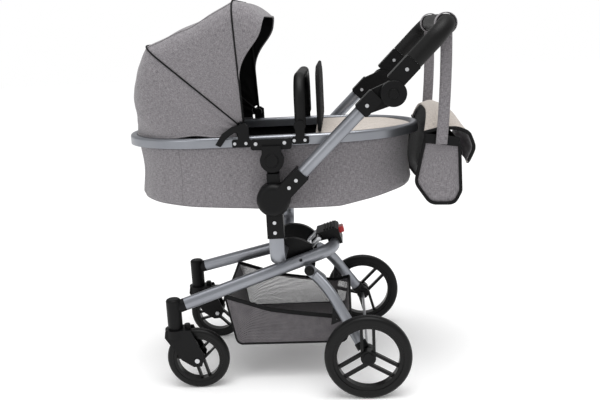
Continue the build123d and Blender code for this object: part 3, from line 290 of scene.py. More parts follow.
def ribbed(name, dark, light, pitch_mm, roughness=0.8):
    """Webbing or binding: fine ribs across its width, with a little colour drift."""
    material, tree, shader = start_material(name, dark, roughness, Specular_IOR_Level=0.25)
    place, weave = thread_waves(tree, pitch_mm)
    drift = add_node(tree, "ShaderNodeTexNoise", {"Scale": 160.0, "Detail": 3.0}, {"Vector": place})
    two_colours(tree, shader, drift.outputs["Fac"], dark, light)
    relief(tree, shader, weave.outputs["Value"], 0.2)
    return material


def knit_mesh(name, dark, light, pitch_mm):
    """Open warp knit: round holes on a square pitch let light through between the threads."""
    material, tree, shader = start_material(name, dark, 0.8)
    place = add_node(tree, "ShaderNodeTexCoord").outputs["UV"]
    cells = add_node(
        tree, "ShaderNodeTexVoronoi", {"Scale": 1 / (pitch_mm * MM), "Randomness": 0.12}, {"Vector": place}
    )
    hole = add_node(
        tree, "ShaderNodeMapRange", {"From Min": 0.26, "From Max": 0.36}, {"Value": cells.outputs["Distance"]}
    )
    drift = add_node(tree, "ShaderNodeTexNoise", {"Scale": 60.0, "Detail": 4.0}, {"Vector": place})
    two_colours(tree, shader, drift.outputs["Fac"], dark, light)
    tree.links.new(hole.outputs["Result"], shader.inputs["Alpha"])
    relief(tree, shader, cells.outputs["Distance"], 0.3)
    return material


cloth_grey = melange("melange_polyester_grey", "#565357", "#959194")
cloth_pale = melange("melange_polyester_sand", "#A89F98", "#D8CFC6")
# The black lining cloth also serves as painted shade on the bag's panel that faces the cot.
lining_and_painted_shade_black = ribbed("lining_polyester_black_and_painted_shade", "#09090A", "#131214", 1.4)
binding_black = ribbed("binding_webbing_black", "#070708", "#101011", 1.6)
basket_mesh = knit_mesh("warp_knit_mesh_grey", "#4C494C", "#7A7679", 2.2)
basket_cloth = melange("basket_floor_weave", "#343133", "#666164", 1.3)

# %% Finish the carried-over CAD pieces
finishes = {
    "black_plastic": abs_black, "silver_tube": tube_silver, "steel": steel_zinc, "black_tyre": eva_black,
    "red_plastic": abs_red, "black_foam": grip_foam, "mesh_cloth": basket_cloth, "grey_cloth": cloth_grey,
}
for part in frame["record"]["subparts"]:
    node_object = nodes[part["node"]]
    finish = finishes[part["material_slot"]]
    if part["node"].endswith("_bow"):
        finish = abs_black
    if "rim_" in part["node"] and "bracket" not in part["node"]:
        finish = abs_gloss_black
    node_object.data.materials.clear()
    node_object.data.materials.append(finish)

# %% [markdown]
# ## Surfaces as grids of points
# Each sewn piece is a grid: rows in one direction, columns in the other, each point worked out by a
# formula for all rows and columns at once. The grid's own edge lengths give its UV map in metres, so a
# weave keeps its scale. A closed direction wraps round to its start.


# %% Grid helpers
def grid_piece(name, points, materials, wrap=(False, False), flip=False, merge=False):
    """Turns a (rows, columns, 3) array in millimetres into a smooth mesh with a UV map in metres."""
    points = np.asarray(points, float) * MM
    rows, columns = points.shape[:2]
    row, column = np.meshgrid(
        np.arange(rows if wrap[0] else rows - 1), np.arange(columns if wrap[1] else columns - 1),
        indexing="ij",
    )
    row, column = row.ravel(), column.ravel()
    next_row, next_column = (row + 1) % rows, (column + 1) % columns
    corners = np.stack([
        row * columns + column, next_row * columns + column,
        next_row * columns + next_column, row * columns + next_column,
    ], 1)
    spans = []
    for axis in (0, 1):
        closed = np.concatenate([points, np.take(points, [0], axis)], axis) if wrap[axis] else points
        steps = np.linalg.norm(np.diff(closed, axis=axis), axis=2).mean(axis=1 - axis)
        spans.append(np.concatenate([[0.0], np.cumsum(steps)]))
    along, across = spans
    uv = np.stack([
        np.stack([along[row], across[column]], 1), np.stack([along[row + 1], across[column]], 1),
        np.stack([along[row + 1], across[column + 1]], 1), np.stack([along[row], across[column + 1]], 1),
    ], 1)
    if flip:
        corners, uv = corners[:, ::-1], uv[:, ::-1]
    mesh = bpy.data.meshes.new(name)
    mesh.from_pydata(points.reshape(-1, 3).tolist(), [], corners.tolist())
    mesh.uv_layers.new(name="UVMap").data.foreach_set("uv", np.ascontiguousarray(uv).ravel())
    mesh.polygons.foreach_set("use_smooth", np.ones(len(mesh.polygons), bool))
    for material in materials:
        mesh.materials.append(material)
    if merge:
        shape = bmesh.new()
        shape.from_mesh(mesh)
        bmesh.ops.remove_doubles(shape, verts=shape.verts, dist=1e-5)
        bmesh.ops.recalc_face_normals(shape, faces=shape.faces)
        shape.to_mesh(mesh)
        shape.free()
    made = bpy.data.objects.new(name, mesh)
    bpy.context.scene.collection.objects.link(made)
    return made


def thicken(piece, thickness_mm, offset=-1.0, inner=0):
    """Solidify: gives a sheet its thickness; inner is the material index of its hidden side."""
    shell = piece.modifiers.new("thickness", "SOLIDIFY")
    shell.thickness, shell.offset = thickness_mm * MM, offset
    shell.material_offset = inner
    shell.use_even_offset = True
    return piece


def smooth_finish(piece, levels=1):
    """Subdivision surface with the same levels in view and render."""
    fine = piece.modifiers.new("smooth", "SUBSURF")
    fine.levels = fine.render_levels = levels
    return piece


def resample(path, count, closed=False):
    """Points at equal steps of arc length along a polyline."""
    path = np.asarray(path, float)
    if closed:
        path = np.concatenate([path, path[:1]])
    reach = np.concatenate([[0], np.cumsum(np.linalg.norm(np.diff(path, axis=0), axis=1))])
    want = np.linspace(0, reach[-1], count + 1 if closed else count)
    made = np.stack([np.interp(want, reach, path[:, i]) for i in range(path.shape[1])], 1)
    return made[:-1] if closed else made


def rounded(path, radius, closed=False, steps=8):
    """Replaces each corner of a polyline by a parabola that starts where an arc of this radius would."""
    path = np.asarray(path, float)
    count = len(path)
    made = []
    for i in range(count):
        if not closed and i in (0, count - 1):
            made.append(path[i][None])
            continue
        before, corner, after = path[i - 1], path[i], path[(i + 1) % count]
        a, b = before - corner, after - corner
        length_a, length_b = np.linalg.norm(a), np.linalg.norm(b)
        a, b = a / length_a, b / length_b
        half = np.arccos(np.clip(a @ b, -1, 1)) / 2
        size = radius[i] if hasattr(radius, "__len__") else radius
        cut = min(size / np.tan(half), 0.49 * length_a, 0.49 * length_b)
        t = np.linspace(0, 1, steps)[:, None]
        start, end = corner + a * cut, corner + b * cut
        made.append((1 - t) ** 2 * start + 2 * t * (1 - t) * corner + t ** 2 * end)
    return np.concatenate(made)


def tube_piece(name, path, radius, materials, normal=(0, 1, 0), sides=12, closed=False, flat=1.0):
    """A round or oval profile carried along a path; its frame keeps one axis near the given normal."""
    path = np.asarray(path, float)
    ahead = np.roll(path, -1, 0) - np.roll(path, 1, 0)
    if not closed:
        ahead[0], ahead[-1] = path[1] - path[0], path[-1] - path[-2]
    ahead /= np.linalg.norm(ahead, axis=1, keepdims=True)
    side = np.broadcast_to(np.asarray(normal, float), path.shape)
    side = side - (side * ahead).sum(1, keepdims=True) * ahead
    side /= np.linalg.norm(side, axis=1, keepdims=True)
    other = np.cross(ahead, side)
    turn = np.linspace(0, 2 * pi, sides, endpoint=False)
    ring = (
        side[:, None] * np.cos(turn)[None, :, None] * radius
        + other[:, None] * np.sin(turn)[None, :, None] * radius * flat
    )
    points = path[:, None] + ring
    if not closed:
        start, end = np.repeat(path[:1, None], sides, 1), np.repeat(path[-1:, None], sides, 1)
        points = np.concatenate([start, points, end])
    return grid_piece(name, points, materials, wrap=(closed, True), merge=True)


def band_piece(name, path, width_vectors, thickness_mm, materials, columns=5):
    """A flat strap: straight rows across a path, each row along its own width vector."""
    path, width_vectors = np.asarray(path, float), np.asarray(width_vectors, float)
    across = np.linspace(-0.5, 0.5, columns)[None, :, None]
    piece = grid_piece(name, path[:, None] + across * width_vectors[:, None], materials)
    return thicken(piece, thickness_mm, 0.0)


def ridges(values, *waves):
    """Sum of sine ripples; each wave is (height, cycles per unit, phase)."""
    return sum(height * np.sin(2 * pi * cycles * values + phase) for height, cycles, phase in waves)


# %% [markdown]
# ## The hood
# The hood is cloth stretched over two wire bows that fan out from one pair of pins. Each bow gives one
# curve, a rounded arch, and the cloth runs nearly straight from bow to bow and sags a little between
# them. It is sewn from three lengths that meet in black piping at the bows: the visor in front, the top
# between the bows, and the back that comes down onto the rim.

# %% Hood curves
HOOD_PIN = np.array([-86.0, 0.0, 500.0])
HOOD_HALF = 132.5
FRONT_ANGLE, REAR_ANGLE, SLACK_ANGLE = 92.3, 138.0, 160.0  # each curve's turn about the pins, in degrees
RIM_FOOT_X, RIM_HEAD_X = 33.0, -158.0  # centres of the rim's two half ellipses
HEM_HEIGHT, HEM_HALF, HEM_FRONT_X, HEM_LONG = 487.0, 131.0, -99.0, 150.0
COLUMNS = 121


def hood_arch(angle, reach, corner, start=13.0):
    """Arch in a plane through the pins: up one side, round a corner, across and down, turned by angle."""
    flat = rounded(
        [(start, -HOOD_HALF), (reach, -HOOD_HALF), (reach, HOOD_HALF), (start, HOOD_HALF)], corner, steps=16
    )
    flat = resample(flat, COLUMNS)
    turn = radians(angle)
    return HOOD_PIN + np.stack([flat[:, 0] * cos(turn), flat[:, 1], flat[:, 0] * sin(turn)], 1), flat


front_arch, front_flat = hood_arch(FRONT_ANGLE, reach=221.0, corner=42.0)
rear_arch = hood_arch(REAR_ANGLE, reach=225.0, corner=40.0)[0]
middle_arch = hood_arch(SLACK_ANGLE, reach=214.0, corner=60.0)[0]


def oval(head, foot, half, count=240):
    """Closed plan of the cot in mm: half an ellipse at the head, straight sides, half at the foot."""
    quarter = np.linspace(-pi / 2, pi / 2, 60)
    foot_end = np.stack([RIM_FOOT_X + foot * np.cos(quarter), half * np.sin(quarter)], 1)
    head_end = np.stack([RIM_HEAD_X - head * np.cos(quarter), -half * np.sin(quarter)], 1)
    return resample(np.concatenate([foot_end, head_end]), count, closed=True)


head_turn = np.linspace(-pi / 2, pi / 2, 80)
hem_curve = np.stack([RIM_HEAD_X - HEM_LONG * np.cos(head_turn), HEM_HALF * np.sin(head_turn)], 1)
hem_plan = np.concatenate([[(HEM_FRONT_X, -HEM_HALF)], hem_curve, [(HEM_FRONT_X, HEM_HALF)]])
hem_plan = resample(hem_plan, COLUMNS)
hem_line = np.column_stack([hem_plan, np.full(COLUMNS, HEM_HEIGHT)])
# The hem lifts off the rim in a shallow wave behind each lever.
hem_line[:, 2] += 5.0 * np.exp(-(((hem_line[:, 0] + 175) / 28) ** 2)) * (np.abs(hem_line[:, 1]) > 100)


def out_of_hood(points):
    """Unit vectors from the hood's middle line towards the cloth."""
    away = points - np.array([-150.0, 0.0, 520.0])
    away[..., 1] *= 0.55
    return away / np.linalg.norm(away, axis=-1, keepdims=True)


# %% Top and back of the hood
t = np.linspace(0, 1, 33)[:, None, None]
span = np.linspace(0, 1, COLUMNS)[None, :, None]
top_points = front_arch * (1 - t) + rear_arch * t
top_sag = 4 * t * (1 - t) * (
    3.2 + ridges(span + 0.25 * t, (1.1, 5.0, 0.4), (0.7, 11.0, 1.7)) + ridges(t + 0.2 * span, (0.6, 2.5, 0.3))
)
top_points = top_points - top_sag * out_of_hood(top_points)
hood_top = thicken(grid_piece("hood_top", top_points, [cloth_grey, lining_and_painted_shade_black], flip=True), 1.4, -1.0, 1)

# Quadratic through three curves: it passes the bow, a slack line and the hem.
back_points = (
    rear_arch * (2 * t - 1) * (t - 1) + middle_arch * 4 * t * (1 - t) + hem_line * t * (2 * t - 1)
)
back_slack = np.sin(pi * t) * (
    ridges(span + 0.3 * t, (1.3, 4.0, 0.9), (0.8, 9.0, 2.1), (0.4, 17.0, 0.2))
    + ridges(t - 0.4 * span, (0.7, 3.0, 1.1))
)
back_points = back_points + back_slack * out_of_hood(back_points)
hood_back = thicken(grid_piece("hood_back", back_points, [cloth_grey, lining_and_painted_shade_black], flip=True), 1.4, -1.0, 1)

# %% Visor
VISOR_SWING = 15.3  # degrees that the visor's edge leans out past the front bow
t = np.linspace(0, 1, 17)[:, None]
radius = front_flat[None, :, 0]
width = np.clip((radius - 78) / 120, 0, 1)
width = width * width * (3 - 2 * width)
visor_angle = np.radians(FRONT_ANGLE - VISOR_SWING * t * width)
lean = 1 - 0.108 * t ** 1.4 * width
ripple = 1.5 * np.sin(pi * t) * width * np.sin(2 * pi * np.linspace(0, 7, COLUMNS)[None, :])
visor_points = np.stack([
    HOOD_PIN[0] + (radius * lean + ripple) * np.cos(visor_angle),
    front_flat[None, :, 1] * (1 - 0.025 * t * width),
    HOOD_PIN[2] + (radius * lean + ripple) * np.sin(visor_angle),
], 2)
hood_visor = thicken(grid_piece("hood_visor", visor_points, [cloth_grey, lining_and_painted_shade_black]), 1.6, -1.0, 1)
for piece in (hood_top, hood_back, hood_visor):
    smooth_finish(piece)

# %% [markdown]
# The piping is a black cord sewn into each seam. It is a round profile carried along the bow's own curve,
# pushed 0.7 mm out of the cloth. A finer ridge marks the corner seam that runs from bow to bow, where the
# top is sewn to the sides, and another the turned hem of the visor.

# %% Piping and seams of the hood
PIPING_LIFT, SEAM_LIFT = 0.7, 0.3
front_piping = tube_piece(
    "hood_front_piping", front_arch + PIPING_LIFT * out_of_hood(front_arch), 1.5, [binding_black],
    normal=(1, 0, 0), sides=8,
)
rear_piping = tube_piece(
    "hood_rear_piping", rear_arch + PIPING_LIFT * out_of_hood(rear_arch), 1.5, [binding_black],
    normal=(1, 0, 1), sides=8,
)
visor_hem = tube_piece(
    "hood_visor_hem", visor_points[-1], 1.7, [cloth_grey], normal=(1, 0, 0), sides=8
)
back_hem = tube_piece("hood_back_hem", back_points[-1], 1.8, [cloth_grey], normal=(0, 0, 1), sides=8)
SEAM_HALF, SEAM_REACH = 112.0, 190.0  # the seam's distance from the middle, and the least reach of its bow
corner_seams = []
for name, side in SIDES:
    too_low = 200 * (front_flat[:, 0] < SEAM_REACH)
    column = int(np.argmin(np.abs(front_flat[:, 1] - side * SEAM_HALF) + too_low))
    seam_path = top_points[:, column] + SEAM_LIFT * out_of_hood(top_points[:, column])
    corner_seams.append(tube_piece(f"hood_corner_seam_{name}", seam_path, 0.9, [cloth_grey], sides=6))

# %% What carries the hood
for piece in (hood_visor, visor_hem, front_piping):
    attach(piece, "canopy_front")
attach(rear_piping, "canopy_rear")
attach(back_hem, "cot")


def across(angle, half_span, radius_mm=150.0):
    """Start and end points in metres of a blend that turns about the hood's pins near this angle."""
    turn = radians(angle)
    middle = HOOD_PIN + radius_mm * np.array([cos(turn), 0, sin(turn)])
    step = half_span * np.array([-sin(turn), 0, cos(turn)])
    return tuple((middle - step) * MM), tuple((middle + step) * MM)


for piece in [hood_top] + corner_seams:
    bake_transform(piece)
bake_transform(hood_back)
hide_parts("canopy")

# %% [markdown]
# ## The carrycot's cover
# The cot is a soft tub hung from the silver rim: a wall of melange cloth, a turned edge at the bottom and
# a stiff floor that climbs towards the foot. The plan is the rim's own oval, a little smaller. Each row of
# the grid is that oval, moved in towards the cot's spine and down; the last rows close the floor.

# %% Cover
COVER_BOTTOM, COVER_TOP = 349.5, 467.6
WALL_FOLDS = (0.9, 19.0, 0.3)
plan = oval(head=149, foot=185, half=131)
around = np.linspace(0, 1, len(plan), endpoint=False)
spine = np.stack([np.clip(plan[:, 0], -150, 30), np.zeros(len(plan))], 1)
inward = spine - plan
depth_to_spine = np.linalg.norm(inward, axis=1)
inward /= depth_to_spine[:, None]
bottom_lift = np.clip(plan[:, 0] - 80, 0, None) * 0.144 + np.clip(-45 - plan[:, 0], 0, None) * 0.06
wall_drop = np.linspace(0, 1, 26)
turn = np.linspace(0, pi / 2, 8)[1:]
floor_share = np.linspace(0, 1, 12)[1:]
edge = 9.0  # radius of the turned bottom edge
seat = 1.2  # how far the cloth sits inside the plan


def cover_rows():
    """Rows of the tub from rim to spine, as (rows, columns, 3): each is the plan moved in, at a height."""
    low = COVER_BOTTOM + bottom_lift
    rows = []
    for share in wall_drop:
        slack = 4.5 * np.sin(pi * share) ** 1.4 + seat
        waves = ridges(around + 0.01 * share, WALL_FOLDS, (0.6, 31.0, 1.9), (0.4, 53.0, 0.7))
        fold = (0.25 + 0.75 * share) * waves
        rows.append((slack + fold, COVER_TOP - share * (COVER_TOP - low - edge)))
    for angle in turn:
        inset = seat + edge * (1 - np.cos(angle)) + 0.5 * ridges(around, WALL_FOLDS)
        rows.append((inset, low + edge * (1 - np.sin(angle))))
    for share in floor_share:
        inset = seat + edge + share * (depth_to_spine - edge - seat)
        rows.append((inset, low - 1.5 * np.sin(pi * share)))
    made = []
    for inset, height in rows:
        inset = np.minimum(np.broadcast_to(inset, depth_to_spine.shape), depth_to_spine)
        made.append(np.column_stack([plan + inward * inset[:, None], np.broadcast_to(height, inset.shape)]))
    return np.stack(made)


cover_points = cover_rows()
cot_cover = thicken(
    grid_piece("cot_cover", cover_points, [cloth_grey, lining_and_painted_shade_black], wrap=(False, True)), 2.4, -1.0, 1
)
bottom_row = len(wall_drop) + 3
cover_piping = tube_piece(
    "cot_cover_piping", cover_points[bottom_row], 1.3, [cloth_grey], normal=(0, 0, 1), sides=8, closed=True
)
SEAM_X, SEAM_Y = -205.0, 120.0  # near these points the wall is joined on each side of the head
side_seams = []
for name, side in SIDES:
    column = int(np.argmin(np.hypot(plan[:, 0] - SEAM_X, plan[:, 1] - side * SEAM_Y)))
    seam_path = cover_points[:bottom_row, column]
    side_seams.append(
        tube_piece(f"cot_cover_seam_{name}", seam_path, 0.8, [cloth_grey], normal=(1, 0, 0), sides=6)
    )
for piece in [cot_cover, cover_piping] + side_seams:
    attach(piece, "cot")
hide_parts("cot_shell")

# %% [markdown]
# ## Mattress and apron
# The mattress is a thin foam pad in a black cover, crowned in the middle and pinched at its welt. The
# apron is the cloth over the foot end: it is stretched inside the rim, and its front edge turns up into
# a stiff padded flap behind the bumper bar.

# %% Mattress
PAD_MIDDLE, PAD_HALF_HEIGHT = 373.0, 15.5
pad_plan = oval(head=141, foot=176, half=122, count=160)
pad_spine = np.stack([np.clip(pad_plan[:, 0], -150, 30), np.zeros(len(pad_plan))], 1)
pad_lift = np.clip(pad_plan[:, 0] - 80, 0, None) * 0.1
rows = []
for angle in np.linspace(0, pi, 25):
    half_height = PAD_HALF_HEIGHT * np.cos(angle)
    share = np.sin(angle) ** 0.35
    rows.append(np.column_stack([
        pad_spine + (pad_plan - pad_spine) * share,
        np.full(len(pad_plan), PAD_MIDDLE) + half_height + pad_lift,
    ]))
mattress = grid_piece("mattress_pad", np.stack(rows), [lining_and_painted_shade_black], wrap=(False, True), merge=True)
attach(mattress, "cot")
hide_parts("mattress")

# %% Apron
APRON_FRONT, RIM_LONG, RIM_HALF, RIM_BAND = 40.0, 200.0, 136.0, 14.4
APRON_HEIGHT = 479.5
ring_long, ring_half = RIM_LONG - RIM_BAND, RIM_HALF - RIM_BAND
apron_length = RIM_FOOT_X + ring_long - APRON_FRONT
x_share = np.linspace(0, 1, 41)[:, None]
x_line = APRON_FRONT + apron_length * (1 - (1 - x_share) ** 1.6)
half_line = ring_half * np.sqrt(np.clip(1 - ((x_line - RIM_FOOT_X) / ring_long) ** 2, 0, 1))
y_share = np.linspace(-1, 1, 49)[None, :]
crown = (1 - y_share ** 4) * (1 - ((x_line - APRON_FRONT) / apron_length) ** 6)
wrinkles = ridges(x_share + 0.2 * y_share, (0.7, 3.0, 0.5)) + ridges(y_share, (0.6, 2.5, 1.0))
apron_points = np.stack([
    x_line + 0 * y_share, half_line * y_share, APRON_HEIGHT + 8.5 * crown + crown * wrinkles,
], 2)
apron_top = thicken(grid_piece("apron_top", apron_points, [cloth_pale, lining_and_painted_shade_black]), 1.8, -1.0, 1)
smooth_finish(apron_top)
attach(apron_top, "cot")
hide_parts("apron")


# %% Upturned flap of the apron
def panel_rows(half_width, low, high, corner, x_mid, half_thick, count=120, rings=9):
    """A padded panel in the YZ plane: its rounded outline shrinks ring by ring as its face swells."""
    outline = rounded(
        [(-half_width, low), (half_width, low), (half_width, high), (-half_width, high)],
        [6, 6, corner, corner], closed=True, steps=12,
    )
    outline = resample(outline, count, closed=True)
    centre = np.array([0.0, (low + high) / 2])
    made = []
    for angle in np.linspace(0, pi, 2 * rings + 1):
        share = np.sin(angle) ** 0.3
        flat = centre + (outline - centre) * share
        made.append(np.column_stack([np.full(count, x_mid + half_thick * np.cos(angle)), flat]))
    return np.stack(made), outline


PANEL_X = 48.0
flap_rows, flap_outline = panel_rows(
    half_width=112, low=488, high=599, corner=30, x_mid=PANEL_X, half_thick=5.5
)
apron_flap = grid_piece("apron_flap", flap_rows, [lining_and_painted_shade_black], wrap=(False, True), merge=True)
flap_binding = tube_piece(
    "apron_flap_binding", np.column_stack([np.full(len(flap_outline), PANEL_X), flap_outline]), 3.2,
    [binding_black], normal=(1, 0, 0), sides=10, closed=True,
)
for piece in (apron_flap, flap_binding):
    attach(piece, "cot")

# %% [markdown]
# ## The bag
# The bag is a boxy pouch with bound edges that hangs from the grip on two flat straps. Its wrap is one
# strip that runs down the side that faces the cot, under the bag and up the outer side; two end panels
# close it, and a flap arches over the mouth. Each is its own grid, so the bag is open when the flap lifts.

# %% Pouch
BAG_HALF, BAG_ROWS, BAG_COLUMNS, PAINTED_SHADE_COLUMNS = 122.0, 61, 90, 41


def section(corners, radii, count):
    """Outline in the XZ plane, in mm: corners rounded by their radii, with count points at equal steps."""
    return resample(rounded(corners, radii, steps=10), count)


bag_path = section(
    [(246, 507), (230, 402), (248, 350), (286, 348), (297, 371), (296.5, 455)],
    [0, 26, 16, 16, 14, 0], BAG_COLUMNS,
)
# The two ends reach nearer the cot than the middle, which leaves room for the cot's round foot.
bag_end_path = section(
    [(233, 463), (216, 388), (242, 349), (285, 347.5), (296.5, 370), (294.5, 453)],
    [0, 22, 22, 16, 14, 0], BAG_COLUMNS,
)
wrap_y = np.linspace(-BAG_HALF, BAG_HALF, BAG_ROWS)[:, None]
bag_middle = np.array([264.0, 425.0])
sag_out = 1.5 * np.cos(pi * wrap_y / (2 * BAG_HALF)) * (1 + 0.5 * np.sin(wrap_y / 19))
push = bag_path - bag_middle
push /= np.linalg.norm(push, axis=1, keepdims=True)
end_share = ((np.abs(wrap_y) / BAG_HALF) ** 3)[..., None]
wrap_section = bag_path[None] * (1 - end_share) + bag_end_path[None] * end_share
wrap_points = np.stack([
    wrap_section[..., 0] + push[None, :, 0] * sag_out * 0.6, wrap_y + 0 * bag_path[None, :, 0],
    wrap_section[..., 1] + push[None, :, 1] * sag_out,
], 2)
bag_wrap = grid_piece("bag_wrap", wrap_points, [cloth_grey, lining_and_painted_shade_black])
# Painted shade: the panel that faces the cot is black, standing for the shadow between the bag and the cot's
# foot.
painted_shade_index = np.tile((np.arange(BAG_COLUMNS - 1) < PAINTED_SHADE_COLUMNS).astype(np.int32), BAG_ROWS - 1)
bag_wrap.data.polygons.foreach_set("material_index", painted_shade_index)
bag_wrap = thicken(bag_wrap, 2.0, -1.0, 1)
mouth_middle = (bag_end_path[0] + bag_end_path[-1]) / 2
share = np.linspace(0, 1, 15)[:, None, None]
end_flat = bag_end_path[None] * (1 - share) + mouth_middle * share
along_edge = np.sin(pi * np.linspace(0, 1, BAG_COLUMNS)[None, :])
bulge = 2.6 * np.sin(pi * np.clip(share[..., 0] * 1.2, 0, 1)) * along_edge
bag_ends, bag_bindings = [], []
for name, side in SIDES:
    points = np.stack([end_flat[..., 0], side * (BAG_HALF - 1.4 + bulge), end_flat[..., 1]], 2)
    end = grid_piece(f"bag_end_{name}", points, [cloth_grey, lining_and_painted_shade_black], flip=side < 0)
    bag_ends.append(thicken(end, 1.8, -1.0, 1))
    rim_y = np.full(BAG_COLUMNS, side * (BAG_HALF - 0.2))
    rim_path = np.column_stack([bag_end_path[:, 0], rim_y, bag_end_path[:, 1]])
    bag_bindings.append(tube_piece(f"bag_binding_{name}", rim_path, 3.0, [binding_black], sides=10))
mouth_band = [
    tube_piece(
        f"bag_mouth_binding_{name}", wrap_points[:, column], 2.4, [binding_black], normal=(1, 0, 0), sides=8
    )
    for name, column in (("front", 0), ("rear", -1))
]
end_tops = [
    band_piece(
        f"bag_end_band_{name}",
        np.stack([
            np.linspace(233, 294, 30), np.full(30, side * (BAG_HALF + 1.4)), np.linspace(468, 459, 30),
        ], 1),
        np.tile([[1.0, 0, 17.0]], (30, 1)), 1.2, [binding_black],
    )
    for name, side in SIDES
]

# %% Flap
FLAP_HALF, FLAP_COLUMNS, FLAP_WAVE = 119.0, 60, 242.0
flap_path = section(
    [(243, 513), (262, 519.5), (292, 507), (315, 468), (322.0, 444), (314, 421)],
    [0, 14, 40, 50, 18, 0], FLAP_COLUMNS,
)
# The flap is a dome: its two sides droop onto the ends of the bag.
flap_end_path = section(
    [(232, 477), (262, 484), (292, 483), (312, 474), (321.5, 447), (309, 421)],
    [0, 30, 20, 14, 18, 0], FLAP_COLUMNS,
)
flap_y = np.linspace(-FLAP_HALF, FLAP_HALF, 57)[:, None]
edge_share = ((np.abs(flap_y) / FLAP_HALF) ** 3.5)[..., None]
flap_section = flap_path[None] * (1 - edge_share) + flap_end_path[None] * edge_share
flap_sag = 1.6 * np.cos(pi * flap_y / FLAP_WAVE) + 0.5 * np.sin(flap_y / 16)
flap_points = np.stack([
    flap_section[..., 0] + flap_sag * 0.3 * np.linspace(0, 1, FLAP_COLUMNS)[None, :],
    flap_y + 0 * flap_path[None, :, 0], flap_section[..., 1],
], 2)
bag_lid = thicken(grid_piece("bag_lid", flap_points, [cloth_pale, cloth_grey], flip=True), 3.0, -1.0, 1)
lid_edge = np.concatenate([flap_points[0], flap_points[1:-1, -1], flap_points[-1, ::-1]])
lid_binding = tube_piece(
    "bag_lid_binding", resample(rounded(lid_edge[::3], 10, steps=4), 220), 3.2, [binding_black],
    normal=(0.3, 0.2, 1), sides=8,
)

# %% Straps
GRIP_X, GRIP_Z, LOOP_RADIUS = 272.0, 664.0, 18.0
STRAP_X, STRAP_Z, STRAP_LENGTH, STRAP_POINTS = 262.0, 456.0, 202.0, 60
bag_straps = []
for name, side in SIDES:
    rise = np.linspace(0, 1, STRAP_POINTS)
    path = np.stack([
        STRAP_X + 10 * rise + 2.5 * np.sin(pi * rise), side * (125.6 + 0.8 * np.sin(3 * pi * rise)),
        STRAP_Z + STRAP_LENGTH * rise,
    ], 1)
    strap_width = np.tile([[20.0, 0, -0.8]], (STRAP_POINTS, 1))
    strap = band_piece(f"bag_strap_{name}", path, strap_width, 1.8, [cloth_grey])
    turn = np.linspace(0, 2 * pi, 64, endpoint=False)
    loop_y = side * np.linspace(105.5, 125.2, 7)
    loop_points = np.stack([
        GRIP_X + LOOP_RADIUS * np.cos(turn)[:, None] + 0 * loop_y, loop_y + 0 * turn[:, None],
        GRIP_Z + LOOP_RADIUS * np.sin(turn)[:, None] + 0 * loop_y,
    ], 2)
    loop = grid_piece(f"bag_strap_loop_{name}", loop_points, [cloth_grey], wrap=(True, False))
    bag_straps += [strap, thicken(loop, 1.6, 0.0)]
for piece in [bag_wrap] + bag_ends + bag_bindings + mouth_band + end_tops + bag_straps:
    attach(piece, "bag")
for piece in (bag_lid, lid_binding):
    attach(piece, "bag_flap")
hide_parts("bag_body")
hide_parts("bag_straps")
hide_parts("bag_flap")

# %% [markdown]
# ## The basket
# The basket hangs between the rails: two woven ends and a floor of one strip, and two sides of open mesh.
# Black webbing binds every edge; the upper straps carry it from the rails in front to the hanger plates
# on the rear legs. The last stretch of each rear strap crosses the fold.

# %% Basket
BASKET_HALF, BASKET_POINTS, TOP_ROWS = 103.5, 80, 6
SIDE_Y = BASKET_HALF + 0.1
FRONT_TOP, REAR_TOP = (-147.5, 176), (91, 137)  # upper corners of the basket, x and z
basket_line = rounded([FRONT_TOP, (-129.5, 77), (81.5, 77), REAR_TOP], [0, 16, 16, 0])
basket_line = resample(basket_line, BASKET_POINTS)
basket_y = np.linspace(-BASKET_HALF, BASKET_HALF, 41)[:, None]
share = np.linspace(0, 1, BASKET_POINTS)[None, :]
across_wave = np.cos(pi * basket_y / (2 * BASKET_HALF))
floor_sag = 1.2 * across_wave * np.sin(pi * share)
basket_points = np.stack([
    basket_line[None, :, 0] + 0 * basket_y, basket_y + 0 * share, basket_line[None, :, 1] - floor_sag,
], 2)
basket_points[..., 2] = np.maximum(basket_points[..., 2], 75.6)
top_dip = 4.0 * across_wave
basket_points[:, :TOP_ROWS, 2] -= top_dip * np.linspace(1, 0, TOP_ROWS)[None, :]
basket_points[:, -TOP_ROWS:, 2] -= top_dip * np.linspace(0, 1, TOP_ROWS)[None, :]
basket_strip = thicken(grid_piece("basket_strip", basket_points, [basket_cloth, basket_cloth]), 1.4, -1.0, 1)
side_top = resample([FRONT_TOP, (-60, 149), (60, 131), REAR_TOP], BASKET_POINTS)
rise = np.linspace(0, 1, 21)[:, None, None]
sag = np.sin(pi * share)
side_flat = basket_line[None] * (1 - rise) + side_top[None] * rise
side_flat[..., 1] -= 3.0 * rise[..., 0] * sag
belly = 3.5 * np.sin(pi * rise[..., 0]) * sag
basket_sides, basket_edges = [], []
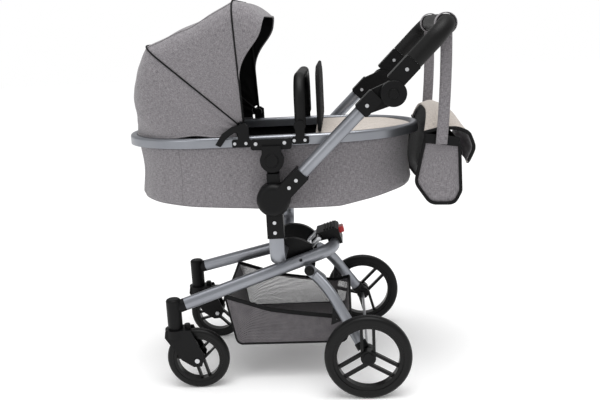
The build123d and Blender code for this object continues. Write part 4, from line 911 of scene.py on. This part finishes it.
for name, side in SIDES:
    points = np.stack([side_flat[..., 0], side * (SIDE_Y - belly), side_flat[..., 1]], 2)
    mesh_side = grid_piece(f"basket_side_{name}", points, [basket_mesh], flip=side > 0)
    basket_sides.append(thicken(mesh_side, 0.8, 0.0))
    edge_path = np.column_stack([
        basket_line[:, 0], np.full(BASKET_POINTS, side * SIDE_Y), np.maximum(basket_line[:, 1], 77.6),
    ])
    basket_edges.append(tube_piece(f"basket_edge_{name}", edge_path, 2.6, [binding_black], sides=8, flat=0.7))
    top_path = np.column_stack([
        side_flat[-1, :, 0], np.full(BASKET_POINTS, side * (SIDE_Y + 0.2)), side_flat[-1, :, 1],
    ])
    top_width = np.tile([[0.6, 0, 8.0]], (BASKET_POINTS, 1))
    basket_edges.append(band_piece(f"basket_top_strap_{name}", top_path, top_width, 1.6, [binding_black]))
end_edges = [
    tube_piece(
        f"basket_end_edge_{name}", basket_points[:, column] + np.array([0, 0, 0.5]), 2.2, [binding_black],
        normal=(1, 0, 0), sides=8,
    )
    for name, column in (("front", 0), ("rear", -1))
]
rear_straps = []
for name, side in SIDES:
    rise = np.linspace(0, 1, 16)[:, None]
    path = np.array([60.0, side * 104.6, 131.0]) * (1 - rise) + np.array([66.0, side * 118.0, 134.0]) * rise
    strap_width = np.tile([[0, 0, 8.0]], (16, 1))
    rear_straps.append(band_piece(f"basket_rear_strap_{name}", path, strap_width, 1.6, [binding_black]))
for piece in [basket_strip] + basket_sides + basket_edges + end_edges:
    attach(piece, "main_frame")
for (name, side), strap in zip(SIDES, rear_straps):
    start, end = (0.060, side * 0.1046, 0.131), (0.066, side * 0.118, 0.134)
    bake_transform(strap)
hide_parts("basket")

# %% [markdown]
# ## Floor
# A pale floor far wider than the object, so that its edge never shows. Its finish is a matt painted board
# with a trace of unevenness.

# %% Floor
floor_paint, tree, shader = start_material("matt_floor_paint", "#F6F6F6", 0.9, Emission_Strength=0.08)
place = add_node(tree, "ShaderNodeTexCoord").outputs["Object"]
cloud = add_node(tree, "ShaderNodeTexNoise", {"Scale": 3.0, "Detail": 2.0}, {"Vector": place})
two_colours(tree, shader, cloud.outputs["Fac"], "#FAFAFA", "#FFFFFF")
reach = np.linspace(-9000, 9000, 3)
floor_points = np.stack([*np.meshgrid(reach, reach, indexing="ij"), np.zeros((len(reach), len(reach)))], 2)
floor = grid_piece("floor", floor_points, [floor_paint])
